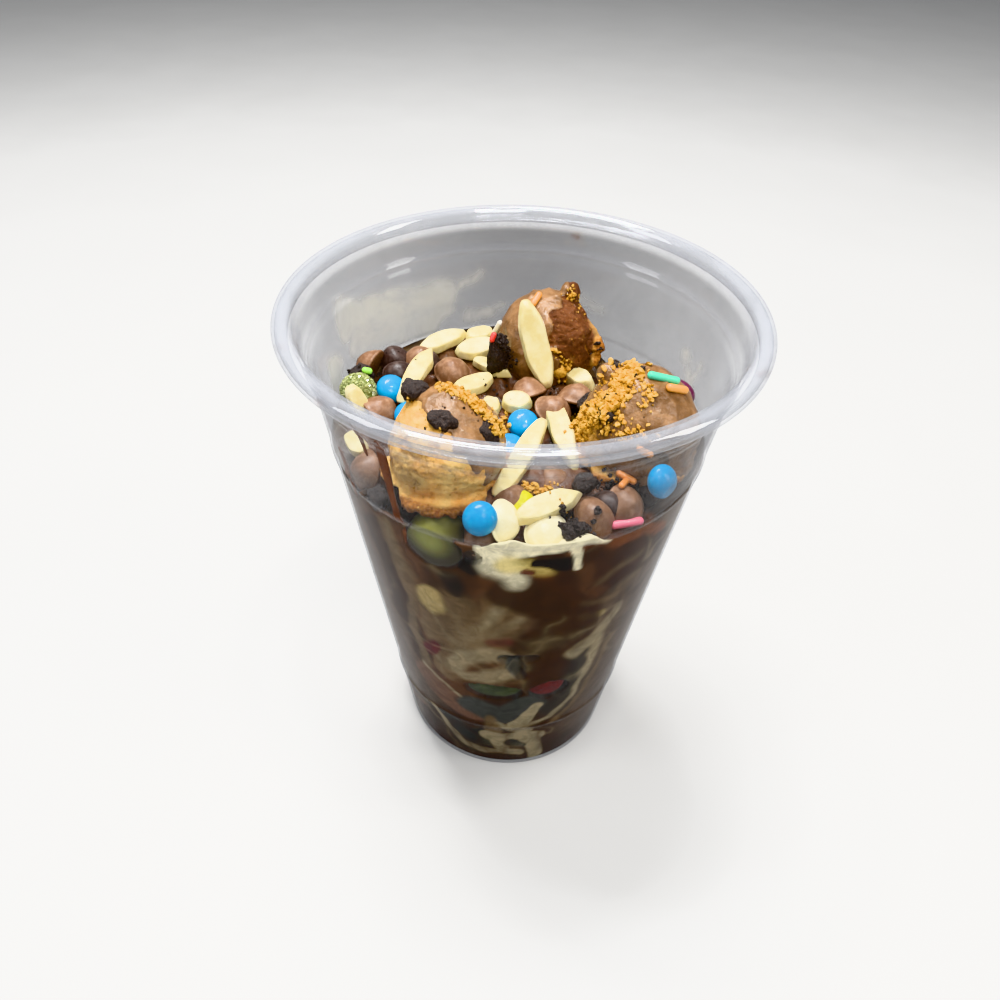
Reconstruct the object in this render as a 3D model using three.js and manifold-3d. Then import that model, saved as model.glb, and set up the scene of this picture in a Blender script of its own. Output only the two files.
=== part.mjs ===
// A clear plastic cup filled with pieces of bubble waffle in chocolate sauce and cream,
// under a heap of chocolate drops, almond slivers, sugar-shelled candies, cookie chunks and fruit.
// Millimetres, +Z up. The cup's axis is Z, its foot stands on z = 0, and the shown side is -Y.

import * as THREE from 'three';
import { mergeVertices } from 'three/addons/utils/BufferGeometryUtils.js';
import Module from 'manifold-3d';

const wasm = await Module();
wasm.setup();

// ---------------------------------------------------------------- driving dimensions

const RIM_RADIUS = 47.5; // a 95 mm rim, the common size of a half-litre cold cup
const CUP_HEIGHT = 121.2;
const SHEET = 0.6; // thickness of the formed plastic
const SLOPE = 0.134; // radius gained by the cone for each mm of height
const CONE_TOP = 110;
const CONE_TOP_RADIUS = 41.7;
const FLOOR_TOP = 5.6; // the floor is pushed up inside the foot
const FLOOR_RADIUS = 23.2;
const FOOT_FLAT = [24.9, 26.6]; // radii of the flat ring that the cup stands on
const STACK_RINGS = [21.2, 93.7]; // heights of the two raised rings in the cone
const STACK_RING_BULGE = 0.3;
const BEAD_RADIUS = 1.9; // of the rolled edge, outside
const CUP_SEGMENTS = 32;

const GAP = 0.3; // kept between neighbouring solids
const CUT_REACH = 16; // pieces further apart than this never meet

const FILL_LEVEL = 93.2; // height of the filling where it meets the wall
const FILL_CROWN = 1.8; // how much higher its middle is
const FILL_SEGMENTS = 32;
const FILL_RINGS = 11;
const DIP = { x: 21, y: 29, depth: 7, width: 9 }; // the hollow at the right, behind
const MOUND_SLOPE = 0.9; // fall of the mound that carries each topping
const HEAP = [80, 102]; // heights of the pieces that lie on the filling, not in it or on a waffle
const UNDERSIDE_REACH = 2.4; // how far round a point the toppings' undersides are looked for

const WEB_THICKNESS = 2.6; // of the torn web between two bubbles of waffle
const FLAKE_SIZES = [0.8, 1.4];
const FLAKE_COUNT = 12;

const degrees = THREE.MathUtils.degToRad;

// ---------------------------------------------------------------- tools

// A repeatable stream of numbers from 0 to 1.
function seeded(seed) {
  let state = seed;
  return () => {
    state = (state * 16807) % 2147483647;
    return state / 2147483647;
  };
}

const outerRadius = (z) => CONE_TOP_RADIUS - SLOPE * (CONE_TOP - z);
const innerRadius = (z) => outerRadius(z) - SHEET;

// A solid of revolution about Z from [radius, height] points that start and end on the axis.
function revolve(points, segments) {
  const profile = points.map(([r, z]) => new THREE.Vector2(r, z));
  return new THREE.LatheGeometry(profile, segments).rotateX(Math.PI / 2);
}

function toSolid(geometry) {
  const bare = geometry.clone();
  for (const name of Object.keys(bare.attributes)) {
    if (name !== 'position') bare.deleteAttribute(name);
  }
  const merged = mergeVertices(bare, 1e-3);
  const made = new wasm.Manifold(new wasm.Mesh({
    numProp: 3,
    vertProperties: new Float32Array(merged.attributes.position.array),
    triVerts: new Uint32Array(merged.index.array),
  }));
  if (made.volume() > 0) return made;
  throw new Error('a geometry faces inwards');
}

// The largest body of a solid, without the loose scraps that cuts leave.
function whole(solid) {
  return solid.decompose().reduce((a, b) => (a.volume() > b.volume() ? a : b));
}

function toGeometry(solid) {
  const mesh = solid.getMesh();
  const geometry = new THREE.BufferGeometry();
  geometry.setAttribute('position', new THREE.BufferAttribute(mesh.vertProperties, 3));
  geometry.setIndex(new THREE.BufferAttribute(mesh.triVerts, 1));
  return geometry.toNonIndexed();
}

// Moves every vertex by a function of its place.
function reshape(geometry, move) {
  const place = geometry.attributes.position;
  const v = new THREE.Vector3();
  for (let i = 0; i < place.count; i += 1) {
    v.fromBufferAttribute(place, i);
    move(v);
    place.setXYZ(i, v.x, v.y, v.z);
  }
  return geometry;
}

// A smooth, repeatable lumpiness from -1 to 1 over directions or places.
function lumps(v, scale, phase) {
  const a = Math.sin(v.x * scale + phase) * Math.cos(v.y * scale * 1.3 - phase);
  const b = Math.sin(v.z * scale * 1.1 + 2 * phase + v.x * scale * 0.7);
  return (a + b) / 2;
}

// ---------------------------------------------------------------- the cup

function beadArc(radius, from, to, steps) {
  const centre = [RIM_RADIUS - BEAD_RADIUS, CUP_HEIGHT - BEAD_RADIUS];
  const points = [];
  for (let i = 0; i <= steps; i += 1) {
    const angle = degrees(from + ((to - from) * i) / steps);
    points.push([centre[0] + radius * Math.cos(angle), centre[1] + radius * Math.sin(angle)]);
  }
  return points;
}

// The wall above the foot as [outer radius, height], from the bottom up.
function wallLine() {
  const line = [[outerRadius(0.8), 0.8]];
  for (const z of STACK_RINGS) {
    line.push([outerRadius(z - 1.2), z - 1.2]);
    line.push([outerRadius(z) + STACK_RING_BULGE, z]);
    line.push([outerRadius(z + 1.2), z + 1.2]);
  }
  line.push([outerRadius(CONE_TOP), CONE_TOP]);
  line.push([42.3, 111.5], [42.4, 112.3], [43.1, 113.4]); // the step that holds a lid
  line.push([43.7, 117.6]);
  return line;
}

function cupGeometry() {
  const wall = wallLine();
  const underside = [
    [0, FLOOR_TOP - SHEET],
    [FLOOR_RADIUS, FLOOR_TOP - SHEET],
    [24.2, 4.2],
    [24.4, 0.7],
    [FOOT_FLAT[0], 0],
    [FOOT_FLAT[1], 0],
  ];
  const curlInside = beadArc(BEAD_RADIUS - SHEET, 180, -120, 5);
  const curlOutside = beadArc(BEAD_RADIUS, -120, 180, 10);
  const inside = wall.slice(1).reverse().map(([r, z]) => [r - SHEET, z]);
  const insideFoot = [
    [innerRadius(1.4), 1.4],
    [26.1, 0.6],
    [25.4, 0.6],
    [25, 1.1],
    [24.8, 4.6],
    [FLOOR_RADIUS + 0.2, FLOOR_TOP],
    [0, FLOOR_TOP],
  ];
  const profile = [...underside, ...wall, ...curlInside, ...curlOutside, ...inside, ...insideFoot];
  return revolve(profile, CUP_SEGMENTS);
}

// The room inside the cup, kept clear of its wall, for trimming what leans on it.
function roomGeometry() {
  return revolve([
    [0, FLOOR_TOP + GAP],
    [innerRadius(FLOOR_TOP) - 2 * GAP, FLOOR_TOP + GAP],
    [innerRadius(CONE_TOP) - GAP, CONE_TOP],
    [0, CONE_TOP + 10],
  ], CUP_SEGMENTS);
}

// ---------------------------------------------------------------- shapes of the pieces
// Each takes its own sizes and the amount to grow by, which makes the pocket for its neighbour.

// A chocolate drop: a flat foot under a low dome, its foot down.
function drop([radius, height], grow) {
  const r = radius + grow;
  const low = -height * 0.45 - grow;
  const high = height * 0.55 + grow;
  const edge = low + height * 0.14;
  const points = [[0, low], [r * 0.9, low], [r, edge]];
  for (const share of [1 / 3, 2 / 3]) {
    const a = (share * Math.PI) / 2;
    points.push([r * Math.cos(a) ** 0.8, edge + (high - edge) * Math.sin(a)]);
  }
  points.push([0, high]);
  return revolve(points, 10);
}

// A ball, a berry or a sugar-shelled lens, by its three sizes.
function ball([length, width, height], grow) {
  return new THREE.SphereGeometry(1, 9, 6).rotateX(Math.PI / 2)
    .scale(length / 2 + grow, width / 2 + grow, height / 2 + grow);
}

// An almond sliver with chamfered edges: its -X end is pointed when taper is 1 and blunt when it is 0.
function almond([length, width, thickness, taper], grow) {
  const outline = new THREE.Shape();
  const half = length / 2 + grow;
  const side = width / 2 + grow;
  const tip = side * (1 - taper) * 0.6;
  outline.moveTo(-half, -tip);
  outline.quadraticCurveTo(-half * 0.6, -side * 1.05, half * 0.15, -side);
  outline.quadraticCurveTo(half * 0.9, -side * 0.9, half, 0);
  outline.quadraticCurveTo(half * 0.9, side * 0.9, half * 0.15, side);
  outline.quadraticCurveTo(-half * 0.6, side * 1.05, -half, tip);
  const bevel = thickness * 0.28;
  const depth = thickness + 2 * grow - 2 * bevel;
  return new THREE.ExtrudeGeometry(outline, {
    depth,
    curveSegments: 2,
    bevelEnabled: true,
    bevelSegments: 1,
    bevelThickness: bevel,
    bevelSize: bevel,
    bevelOffset: -bevel,
  }).translate(0, 0, -depth / 2);
}

// A broken chunk, as of cookie or nut.
function chunk([length, width, height, phase], grow) {
  const lump = new THREE.IcosahedronGeometry(1, 1);
  reshape(lump, (v) => v.multiplyScalar(1 + 0.16 * lumps(v, 2.7, phase)));
  return lump.scale(length / 2 + grow, width / 2 + grow, height / 2 + grow);
}

// One bubble of waffle, with the torn web that joined it to its neighbours round it.
function waffle([length, width, height, webRadius, webLow, phase], grow) {
  const bubble = new THREE.SphereGeometry(1, 14, 8).rotateX(Math.PI / 2);
  reshape(bubble, (v) => v.multiplyScalar(1 + 0.06 * lumps(v, 2.3, phase)));
  bubble.scale(length / 2 + grow, width / 2 + grow, height / 2 + grow);
  const half = WEB_THICKNESS / 2 + grow;
  const web = revolve([[0, -half], [1, -half], [1, half], [0, half]], 16);
  reshape(web, (v) => {
    const turn = Math.atan2(v.y, v.x);
    const torn = 1 + 0.08 * Math.sin(3 * turn + phase) + 0.05 * Math.sin(6 * turn + 2 * phase);
    v.x *= webRadius * torn + grow;
    v.y *= webRadius * torn + grow;
    v.z += webLow + 0.6 * Math.sin(2 * turn + phase);
  });
  return toGeometry(toSolid(bubble).add(toSolid(web)));
}

// A sugar strand, lying along X.
function strand([length, thickness], grow) {
  const radius = thickness / 2 + grow;
  return new THREE.CapsuleGeometry(radius, length - thickness, 1, 6).rotateZ(Math.PI / 2);
}

// ---------------------------------------------------------------- sizes and colours of the kinds

const CANDY = [6.4, 6.4, 4.2];

const KINDS = {
  waffle: { shape: waffle, color: 0xa8682e, roughness: 0.6 },
  almond: { shape: almond, color: 0xefe6b4, roughness: 0.5 },
  milk_drop: { shape: drop, color: 0x6e4632, roughness: 0.4, sizes: [4.2, 4] },
  dark_drop: { shape: drop, color: 0x35211c, roughness: 0.45, sizes: [3.7, 3.8] },
  white_drop: { shape: drop, color: 0xf2ecc8, roughness: 0.4, sizes: [4, 3.2] },
  candy_blue: { shape: ball, color: 0x0d8fd8, roughness: 0.2, sizes: CANDY },
  candy_purple: { shape: ball, color: 0x5b2440, roughness: 0.2, sizes: CANDY },
  candy_yellow: { shape: ball, color: 0xb9b414, roughness: 0.2, sizes: CANDY },
  cookie: { shape: chunk, color: 0x17110f, roughness: 0.8 },
  nut: { shape: chunk, color: 0xd9a860, roughness: 0.6 },
  grape: { shape: ball, color: 0x5f6d2a, roughness: 0.3 },
  fruit_green: { shape: ball, color: 0x4f6b2c, roughness: 0.3 },
  fruit_red: { shape: ball, color: 0x8c1218, roughness: 0.3 },
  sugar_ball: { shape: ball, color: 0x8f9a4c, roughness: 0.5, sizes: [7.4, 7.4, 7.4] },
  strand: { shape: strand, sizes: [6, 1.7] },
  scrap: { shape: chunk },
};

// ---------------------------------------------------------------- the pieces as they lie
// A piece's name without its number is its kind. at is its middle. turn is its heading from +X
// in degrees, how far that end dips, and the roll about its length; a disc leans towards its dip.

const lay = (name, at, turn, sizes) => {
  const kind = name.replace(/_\d+$/, '');
  return { name, kind, at, turn, sizes: sizes ?? KINDS[kind].sizes };
};

const WAFFLES = [
  lay('waffle_1', [5.6, 20.6, 99.8], [-146, 62, 0], [22.6, 22, 21.4, 11, -3.4, 1.3]),
  lay('waffle_2', [-13.8, -21.2, 100.8], [0, 0, 0], [21.6, 21.6, 22.4, 11.8, -5, 0.4]),
  lay('waffle_3', [23.2, -11.2, 99.8], [-25, 0, 0], [23.6, 21, 24.6, 11.6, -4.5, 2.6]),
];

const TOPPINGS = [
  lay('almond_01', [3.1, 9.6, 105.4], [-48, 62, 30], [19, 6.2, 1.8, 0.6]),
  lay('almond_02', [-18.3, 22.2, 98.2], [216, 5, -15], [13, 4.6, 2, 1]),
  lay('almond_03', [-10.4, 19.8, 98.2], [197, 4, -20], [10.4, 5, 2.2, 0.3]),
  lay('almond_04', [-22, 4.8, 100.6], [-107, 6, -12], [20, 4.6, 2, 1]),
  lay('almond_05', [-6.6, 13.2, 97.6], [143, 4, -15], [11.6, 3.8, 2, 1]),
  lay('almond_06', [-9.8, 5.6, 97.9], [42, 4, 15], [10.2, 4.6, 2, 0]),
  lay('almond_07', [-33.2, -3.9, 98.4], [-20, 62, 40], [7, 3.6, 1.8, 0.2]),
  lay('almond_08', [-0.5, -0.4, 98], [-5, -5, 20], [6.6, 4.6, 2.2, 0.4]),
  lay('almond_09', [-5.9, -1.4, 96.8], [-103, 10, 0], [5.6, 4, 2, 0]),
  lay('almond_10', [8.8, -9, 97.2], [-76, 8, 8], [22, 5, 2, 0]),
  lay('almond_11', [1.1, -17.6, 97.3], [65, -14, 15], [21.4, 5.2, 2, 0.2]),
  lay('almond_12', [13, 11.2, 96.8], [-34, 0, 20], [7.2, 4.4, 3, 0.3]),
  lay('almond_13', [6.1, -30.4, 96], [206, 9, -20], [14.6, 4.8, 2, 1]),
  lay('almond_14', [-31.6, -16, 96.8], [-51, 18, 20], [6.6, 3.8, 2, 0]),
  lay('almond_15', [-9.9, 25.6, 98.3], [20, 0, 15], [7.4, 4.4, 2.2, 0]),

  lay('milk_drop_01', [-15, 11.8, 97.2], [-70, 18, 0]),
  lay('milk_drop_02', [-28, -3, 96.4], [20, 42, 0]),
  lay('milk_drop_03', [1.6, 6, 97.2], [125, 32, 0]),
  lay('milk_drop_04', [12.6, 4.8, 97], [70, 25, 0]),
  lay('milk_drop_05', [7.6, 2.6, 94.6], [20, 50, 0]),
  lay('milk_drop_06', [-34.2, 12.4, 97.2], [160, 72, 0]),
  lay('milk_drop_07', [-30, -20.6, 93.8], [214, 66, 0]),
  lay('milk_drop_08', [15.4, -30, 93.8], [-60, 30, 0]),
  lay('milk_drop_09', [21.4, -27, 94], [-52, 40, 0]),
  lay('milk_drop_10', [-6.6, -34.6, 89.6], [-100, 70, 0]),
  lay('dark_drop_01', [-26.4, 9, 97.8], [-60, 24, 0]),
  lay('dark_drop_02', [-28.8, 16, 97.2], [-110, 16, 0]),
  lay('dark_drop_03', [-21.6, 16.2, 96.6], [-80, 14, 0]),
  lay('dark_drop_04', [26.2, -20.6, 93.2], [-40, 50, 0]),
  lay('white_drop_01', [-0.9, -33.2, 94.2], [-28, 60, 0]),
  lay('white_drop_02', [6.2, -34.6, 93.2], [-85, 35, 0]),

  lay('candy_blue_1', [-6, -35, 96.2], [-92, 45, 0]),
  lay('candy_blue_2', [27, -26, 99.4], [-46, 62, 0]),
  lay('candy_blue_3', [-27.4, 2.8, 97.4], [-60, 30, 0]),
  lay('candy_blue_4', [-22.6, -4.8, 96], [-60, 35, 0]),
  lay('candy_blue_5', [1, -5.8, 96.2], [-90, 25, 0]),
  lay('candy_blue_6', [-1.6, -12.4, 95], [-90, 10, 0]),
  lay('candy_purple', [32.4, -2.8, 103.6], [45, 60, 0]),
  lay('candy_yellow', [1, -27.4, 93], [-90, 20, 0]),

  lay('cookie_01', [-19, -18.4, 111.8], [20, 0, 0], [5.8, 4.6, 4.2, 0.6]),
  lay('cookie_02', [-13.4, -26, 111], [10, 30, 0], [5.4, 4.2, 3.2, 1.7]),
  lay('cookie_03', [-5.6, -24.2, 107.6], [-20, 45, 0], [5, 4, 3.2, 2.9]),
  lay('cookie_04', [-34.4, 6.6, 98.2], [60, 0, 0], [6, 4.6, 4.2, 4.1]),
  lay('cookie_05', [-5.2, 12, 101.4], [70, 0, 0], [4.8, 4.6, 9.4, 5.3]),
  lay('cookie_06', [14.8, -1.4, 99.4], [42, -8, 0], [7, 3.6, 3.2, 0.2]),
  lay('cookie_07', [16.6, -16.8, 107], [-30, -40, 0], [3.8, 3.4, 3, 1.1]),
  lay('cookie_08', [13, -24.8, 97], [10, 0, 0], [4.4, 3.8, 3.6, 2.2]),
  lay('cookie_09', [11, -34.2, 93.4], [24, 0, 0], [5.4, 3.4, 3.4, 3.3]),
  lay('cookie_10', [-25.6, -26.4, 92.6], [-46, 0, 0], [5, 3.6, 4, 4.8]),

  lay('nut_01', [8.4, 11.6, 98.6], [60, 0, 0], [3.6, 3.4, 4.4, 1.9]),
  lay('sugar_ball', [-34.2, 1.2, 97.4], [0, 0, 0]),
  lay('grape', [-13.9, -32.8, 88.6], [-113, 0, 0], [11.4, 12, 11.6]),
  lay('fruit_green', [-2.4, -29, 38.6], [-94, 0, 0], [5.4, 13, 7]),
  lay('fruit_red', [9.2, -27.6, 38.8], [-72, 0, 0], [5.4, 9.4, 8]),
];

// Small things that are one with what they lie on: sugar strands and scraps of torn web.
const FUSED = [
  { on: 'waffle_3', ...lay('strand_1', [25, -6.2, 110.4], [-12, 4, 0]) },
  { on: 'waffle_3', ...lay('strand_2', [27.8, -9.6, 109.6], [-10, 26, 0], [4.4, 1.7]) },
  { on: 'waffle_3', ...lay('scrap_3', [18.6, -8.4, 109.4], [-10, 20, 0], [7.6, 4.4, 4.2, 0.9]) },
  { on: 'waffle_1', ...lay('strand_4', [0.2, 15.2, 109.6], [40, -30, 0], [4.4, 1.5]) },
  { on: 'waffle_1', ...lay('scrap_5', [10, 24, 109.4], [60, 0, 0], [6, 4.4, 7, 2.4]) },
  { on: 'filling', ...lay('strand_6', [19.2, -31.2, 95.4], [20, -4, 0]) },
];

// ---------------------------------------------------------------- placing and fitting

function placement({ at, turn }) {
  const [heading, dip, roll] = turn.map(degrees);
  const spin = new THREE.Quaternion().setFromEuler(new THREE.Euler(roll, dip, heading, 'ZYX'));
  return new THREE.Matrix4().compose(new THREE.Vector3(...at), spin, new THREE.Vector3(1, 1, 1));
}

function placedSolid(piece, grow) {
  return toSolid(KINDS[piece.kind].shape(piece.sizes, grow).applyMatrix4(placement(piece)));
}

const inHeap = (piece) => piece.at[2] > HEAP[0] && piece.at[2] < HEAP[1];

function distance(a, b) {
  return Math.hypot(a.at[0] - b.at[0], a.at[1] - b.at[1], a.at[2] - b.at[2]);
}

// Cuts a pocket for each neighbour that reaches into a solid.
function giveWay(solid, neighbours) {
  return neighbours.filter((other) => solid.intersect(other.solid).volume() > 0)
    .reduce((left, other) => left.subtract(other.pocket), solid);
}

// Adds to a solid the small things that are one with it.
function withFused(solid, name) {
  return FUSED.filter((piece) => piece.on === name)
    .reduce((sum, piece) => sum.add(placedSolid(piece, 0)), solid);
}

// The lowest point of a list of solids over each cell of a 1 mm grid.
function undersideOf(solids) {
  const lowest = new Map();
  const corners = [0, 1, 2].map(() => new THREE.Vector3());
  const point = new THREE.Vector3();
  const steps = 5;
  for (const solid of solids) {
    const place = toGeometry(solid).attributes.position;
    for (let i = 0; i < place.count; i += 3) {
      corners.forEach((corner, k) => corner.fromBufferAttribute(place, i + k));
      for (let j = 0; j <= steps; j += 1) {
        for (let k = 0; k <= steps - j; k += 1) {
          point.set(0, 0, 0).addScaledVector(corners[0], j / steps);
          point.addScaledVector(corners[1], k / steps).addScaledVector(corners[2], 1 - (j + k) / steps);
          const cell = `${Math.round(point.x)},${Math.round(point.y)}`;
          lowest.set(cell, Math.min(point.z, lowest.get(cell) ?? Infinity));
        }
      }
    }
  }
  return (x, y) => {
    let low = Infinity;
    const reach = Math.ceil(UNDERSIDE_REACH);
    for (let i = -reach; i <= reach; i += 1) {
      for (let j = -reach; j <= reach; j += 1) {
        if (Math.hypot(i, j) > UNDERSIDE_REACH) continue;
        low = Math.min(low, lowest.get(`${Math.round(x) + i},${Math.round(y) + j}`) ?? Infinity);
      }
    }
    return low;
  };
}

// Height of the heap: a low crown, a hollow, and a mound up to each topping that lies on it.
function heapTop(x, y) {
  const across = Math.hypot(x, y) / innerRadius(FILL_LEVEL);
  const fromDip = Math.hypot(x - DIP.x, y - DIP.y) / DIP.width;
  let top = FILL_LEVEL + FILL_CROWN * (1 - across ** 2) - DIP.depth * Math.exp(-(fromDip ** 2));
  top += 0.35 * lumps(new THREE.Vector3(x, y, 0), 0.45, 1);
  for (const { at } of TOPPINGS.filter(inHeap)) {
    top = Math.max(top, at[2] - 1 - MOUND_SLOPE * Math.hypot(x - at[0], y - at[1]));
  }
  return top;
}

function fillingGeometry(topAt) {
  const foot = FLOOR_TOP + GAP;
  const wall = (z) => innerRadius(z) - GAP;
  const line = [[0, foot], [FLOOR_RADIUS, foot], [wall(foot + 1.5) - 0.2, foot + 1.5]];
  for (const share of [0.33, 0.66]) {
    const z = foot + share * (FILL_LEVEL - foot);
    line.push([wall(z), z]);
  }
  for (let i = FILL_RINGS; i >= 0; i -= 1) {
    line.push([(wall(FILL_LEVEL) * i) / FILL_RINGS, FILL_LEVEL]);
  }
  return reshape(revolve(line, FILL_SEGMENTS), (v) => {
    if (v.z < FILL_LEVEL - 0.1) return;
    v.z = topAt(v.x, v.y);
    const squeeze = Math.min(1, wall(v.z) / wall(FILL_LEVEL));
    v.x *= squeeze;
    v.y *= squeeze;
  });
}

// Flakes of cookie and nut, one with the filling, where nothing else is near.
function flakes(topAt) {
  const draw = seeded(11);
  const made = [];
  while (made.length < FLAKE_COUNT) {
    const r = (innerRadius(FILL_LEVEL) - 4) * Math.sqrt(draw());
    const turn = 2 * Math.PI * draw();
    const size = THREE.MathUtils.lerp(FLAKE_SIZES[0], FLAKE_SIZES[1], draw());
    const [x, y] = [r * Math.cos(turn), r * Math.sin(turn)];
    const flake = { at: [x, y, topAt(x, y) + 0.3 * size], turn: [360 * draw(), 0, 0] };
    const clear = (piece) => distance(piece, flake) > piece.sizes[0] / 2 + size + 2;
    if (![...WAFFLES, ...TOPPINGS].every(clear)) continue;
    made.push(toSolid(new THREE.IcosahedronGeometry(size, 0).applyMatrix4(placement(flake))));
  }
  return made;
}

// ---------------------------------------------------------------- assembly

const serving = new THREE.Group();

function addMesh(name, geometry, { color, roughness, opacity = 1 }, matrix = new THREE.Matrix4()) {
  const transparent = opacity < 1;
  const material = new THREE.MeshStandardMaterial({ color, roughness, metalness: 0, opacity, transparent });
  const mesh = new THREE.Mesh(geometry, material);
  mesh.name = name;
  matrix.decompose(mesh.position, mesh.quaternion, mesh.scale);
  serving.add(mesh);
}

// Each topping is trimmed to the room in the cup and to the toppings laid before it.
const room = toSolid(roomGeometry());
const fitted = [];
for (const piece of TOPPINGS) {
  let solid = placedSolid(piece, 0).intersect(room);
  for (const other of fitted) {
    if (distance(piece, other.piece) < CUT_REACH) solid = solid.subtract(other.pocket);
  }
  fitted.push({ piece, solid: whole(solid), pocket: placedSolid(piece, GAP) });
}

// The waffles give way to the toppings on them.
const carriers = WAFFLES.map((piece) => {
  const solid = withFused(placedSolid(piece, 0), piece.name).intersect(room);
  return { piece, solid: whole(giveWay(solid, fitted)), pocket: placedSolid(piece, GAP) };
});

// The filling comes up to just under the toppings, and gives way to what sinks into it.
const underside = undersideOf(fitted.filter(({ piece }) => inHeap(piece)).map(({ solid }) => solid));
const topAt = (x, y) => Math.min(heapTop(x, y), underside(x, y) - GAP);
let filling = withFused(toSolid(fillingGeometry(topAt)), 'filling');
for (const flake of flakes(topAt)) filling = filling.add(flake);
filling = giveWay(filling, [...carriers, ...fitted]);

addMesh('cup', cupGeometry(), { color: 0xf4f6f8, roughness: 0.1, opacity: 0.3 });
addMesh('filling', toGeometry(whole(filling)), { color: 0x4a2f20, roughness: 0.45 });
for (const { piece, solid } of [...carriers, ...fitted]) {
  const matrix = placement(piece);
  const local = toGeometry(solid).applyMatrix4(matrix.clone().invert());
  addMesh(piece.name, local, KINDS[piece.kind], matrix);
}

export default serving;
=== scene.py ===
"""A clear plastic cup of bubble waffle, chocolate and cream under a heap of toppings.

Every form is worked out in millimetres and written to Blender in metres. The cup's axis is Z and
the side that the photograph shows faces -Y. Places on the wall are (angle in degrees, height):
-90 degrees is the front.
"""

import itertools
import math

import bmesh
import bpy
import numpy as np
from mathutils import Matrix, Vector
from mathutils.bvhtree import BVHTree


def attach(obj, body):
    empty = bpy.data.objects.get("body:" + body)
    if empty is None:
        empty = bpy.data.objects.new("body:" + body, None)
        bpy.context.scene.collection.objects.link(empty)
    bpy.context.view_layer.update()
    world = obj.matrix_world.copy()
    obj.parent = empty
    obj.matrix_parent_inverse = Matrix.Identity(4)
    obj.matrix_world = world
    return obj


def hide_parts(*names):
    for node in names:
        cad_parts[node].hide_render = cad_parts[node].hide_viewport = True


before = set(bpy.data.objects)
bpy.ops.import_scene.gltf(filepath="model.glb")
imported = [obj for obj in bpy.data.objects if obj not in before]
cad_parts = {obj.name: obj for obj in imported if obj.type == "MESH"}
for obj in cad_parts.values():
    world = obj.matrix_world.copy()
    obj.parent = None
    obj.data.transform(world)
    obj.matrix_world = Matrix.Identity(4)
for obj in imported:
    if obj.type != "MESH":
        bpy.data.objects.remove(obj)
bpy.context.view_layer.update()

MM = 0.001

# ---- sizes, in millimetres

RIM_RADIUS = 47.5
CUP_HEIGHT = 121.2
SHEET = 0.6
SLOPE = 0.134
CONE_TOP = 110
CONE_TOP_RADIUS = 41.7
FLOOR_TOP = 5.6
FLOOR_RADIUS = 23.2
STACK_RINGS = (21.2, 93.7)
STEP_RING = 112.2
STEP_LINE = ((CONE_TOP, CONE_TOP_RADIUS), (111.3, 42.25), (STEP_RING, 42.4), (113.3, 43.05), (117.6, 43.7))
RING_HEIGHT, RING_WIDTH = 0.3, 0.7
BEAD_RADIUS = 1.9
BEAD_MIDDLE = np.array([RIM_RADIUS - BEAD_RADIUS, CUP_HEIGHT - BEAD_RADIUS])
FOOT_OUTSIDE = (
    (0, 5.0), (12, 5.0), (FLOOR_RADIUS, 5.0), (24.1, 4.3), (24.3, 0.9), (24.5, 0.3), (24.9, 0), (26.6, 0),
    (27.0, 0.35),
)
FOOT_INSIDE = (
    (26.4, 1.3), (26.1, 0.8), (25.5, 0.6), (25.1, 0.9), (24.9, 4.5), (23.6, 5.5), (12, FLOOR_TOP),
    (0, FLOOR_TOP),
)
CUP_SEGMENTS = 256
FILL_SINK = 0.15  # how far the filling reaches into the wall
FRONT_STEPS = 250  # columns of the filling over its front half, which the photograph shows
BACK_STEPS = 90

# ---- colours, as seen

PALETTE = {
    "dark": (50, 28, 12), "brown": (82, 53, 32), "grey_brown": (84, 68, 54),
    "veil": (108, 89, 64), "cream": (238, 228, 192), "low_cream": (150, 136, 106),
    "caramel": (106, 60, 30), "yellow_cream": (216, 194, 112), "pink_brown": (106, 78, 62),
    # the first two colours on the next line are painted shade: the dark of hollows seen through the wall
    "slate": (68, 68, 64), "deep_slate": (46, 46, 44), "wine": (84, 28, 30),
    "almond_bit": (176, 154, 100), "cookie": (28, 22, 20), "lobe": (52, 28, 12),
}


def linear(rgb):
    """A colour as seen on a screen, from 0 to 255, as light."""
    c = np.asarray(rgb, float) / 255
    return np.where(c <= 0.04045, c / 12.92, ((c + 0.055) / 1.055) ** 2.4)


def rgba(rgb):
    return (*linear(rgb), 1.0)


# ---- numbers


def smoothstep(low, high, x):
    t = np.clip((x - low) / (high - low), 0, 1)
    return t * t * (3 - 2 * t)


HASH_STEPS = np.array([73856093, 19349663, 83492791], np.uint64)
HASH_MIXES = ((15, 0x2C1B3C6D), (12, 0x297A2D39))  # shifts and factors that scatter the bits
SEED_STEP = 31.7


def noise(points, size, seed=0):
    """Smooth noise from -1 to 1 at an array of points, with features about size across."""
    p = np.asarray(points, float) / size + SEED_STEP * seed
    cell = np.floor(p)
    f = p - cell
    f = f * f * (3 - 2 * f)
    cell = cell.astype(np.int64)
    total = np.zeros(len(p))
    for corner in itertools.product((0, 1), repeat=3):
        h = np.bitwise_xor.reduce((cell + corner).astype(np.uint64) * HASH_STEPS, axis=1)
        for shift, factor in HASH_MIXES:
            h = (h ^ (h >> np.uint64(shift))) * np.uint64(factor)
        value = (h >> np.uint64(20) & np.uint64(0xFFFF)).astype(float) / 0xFFFF * 2 - 1
        total += value * np.prod(np.where(corner, f, 1 - f), axis=1)
    return total


def layered(points, size, seed=0, layers=4):
    """Noise with finer and weaker layers added."""
    return sum(noise(points, size / 2**k, seed + k) / 2**k for k in range(layers))


def waves(points, *terms):
    """A sum of noise terms of (strength, size, seed)."""
    return sum(strength * noise(points, size, seed) for strength, size, seed in terms)


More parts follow.
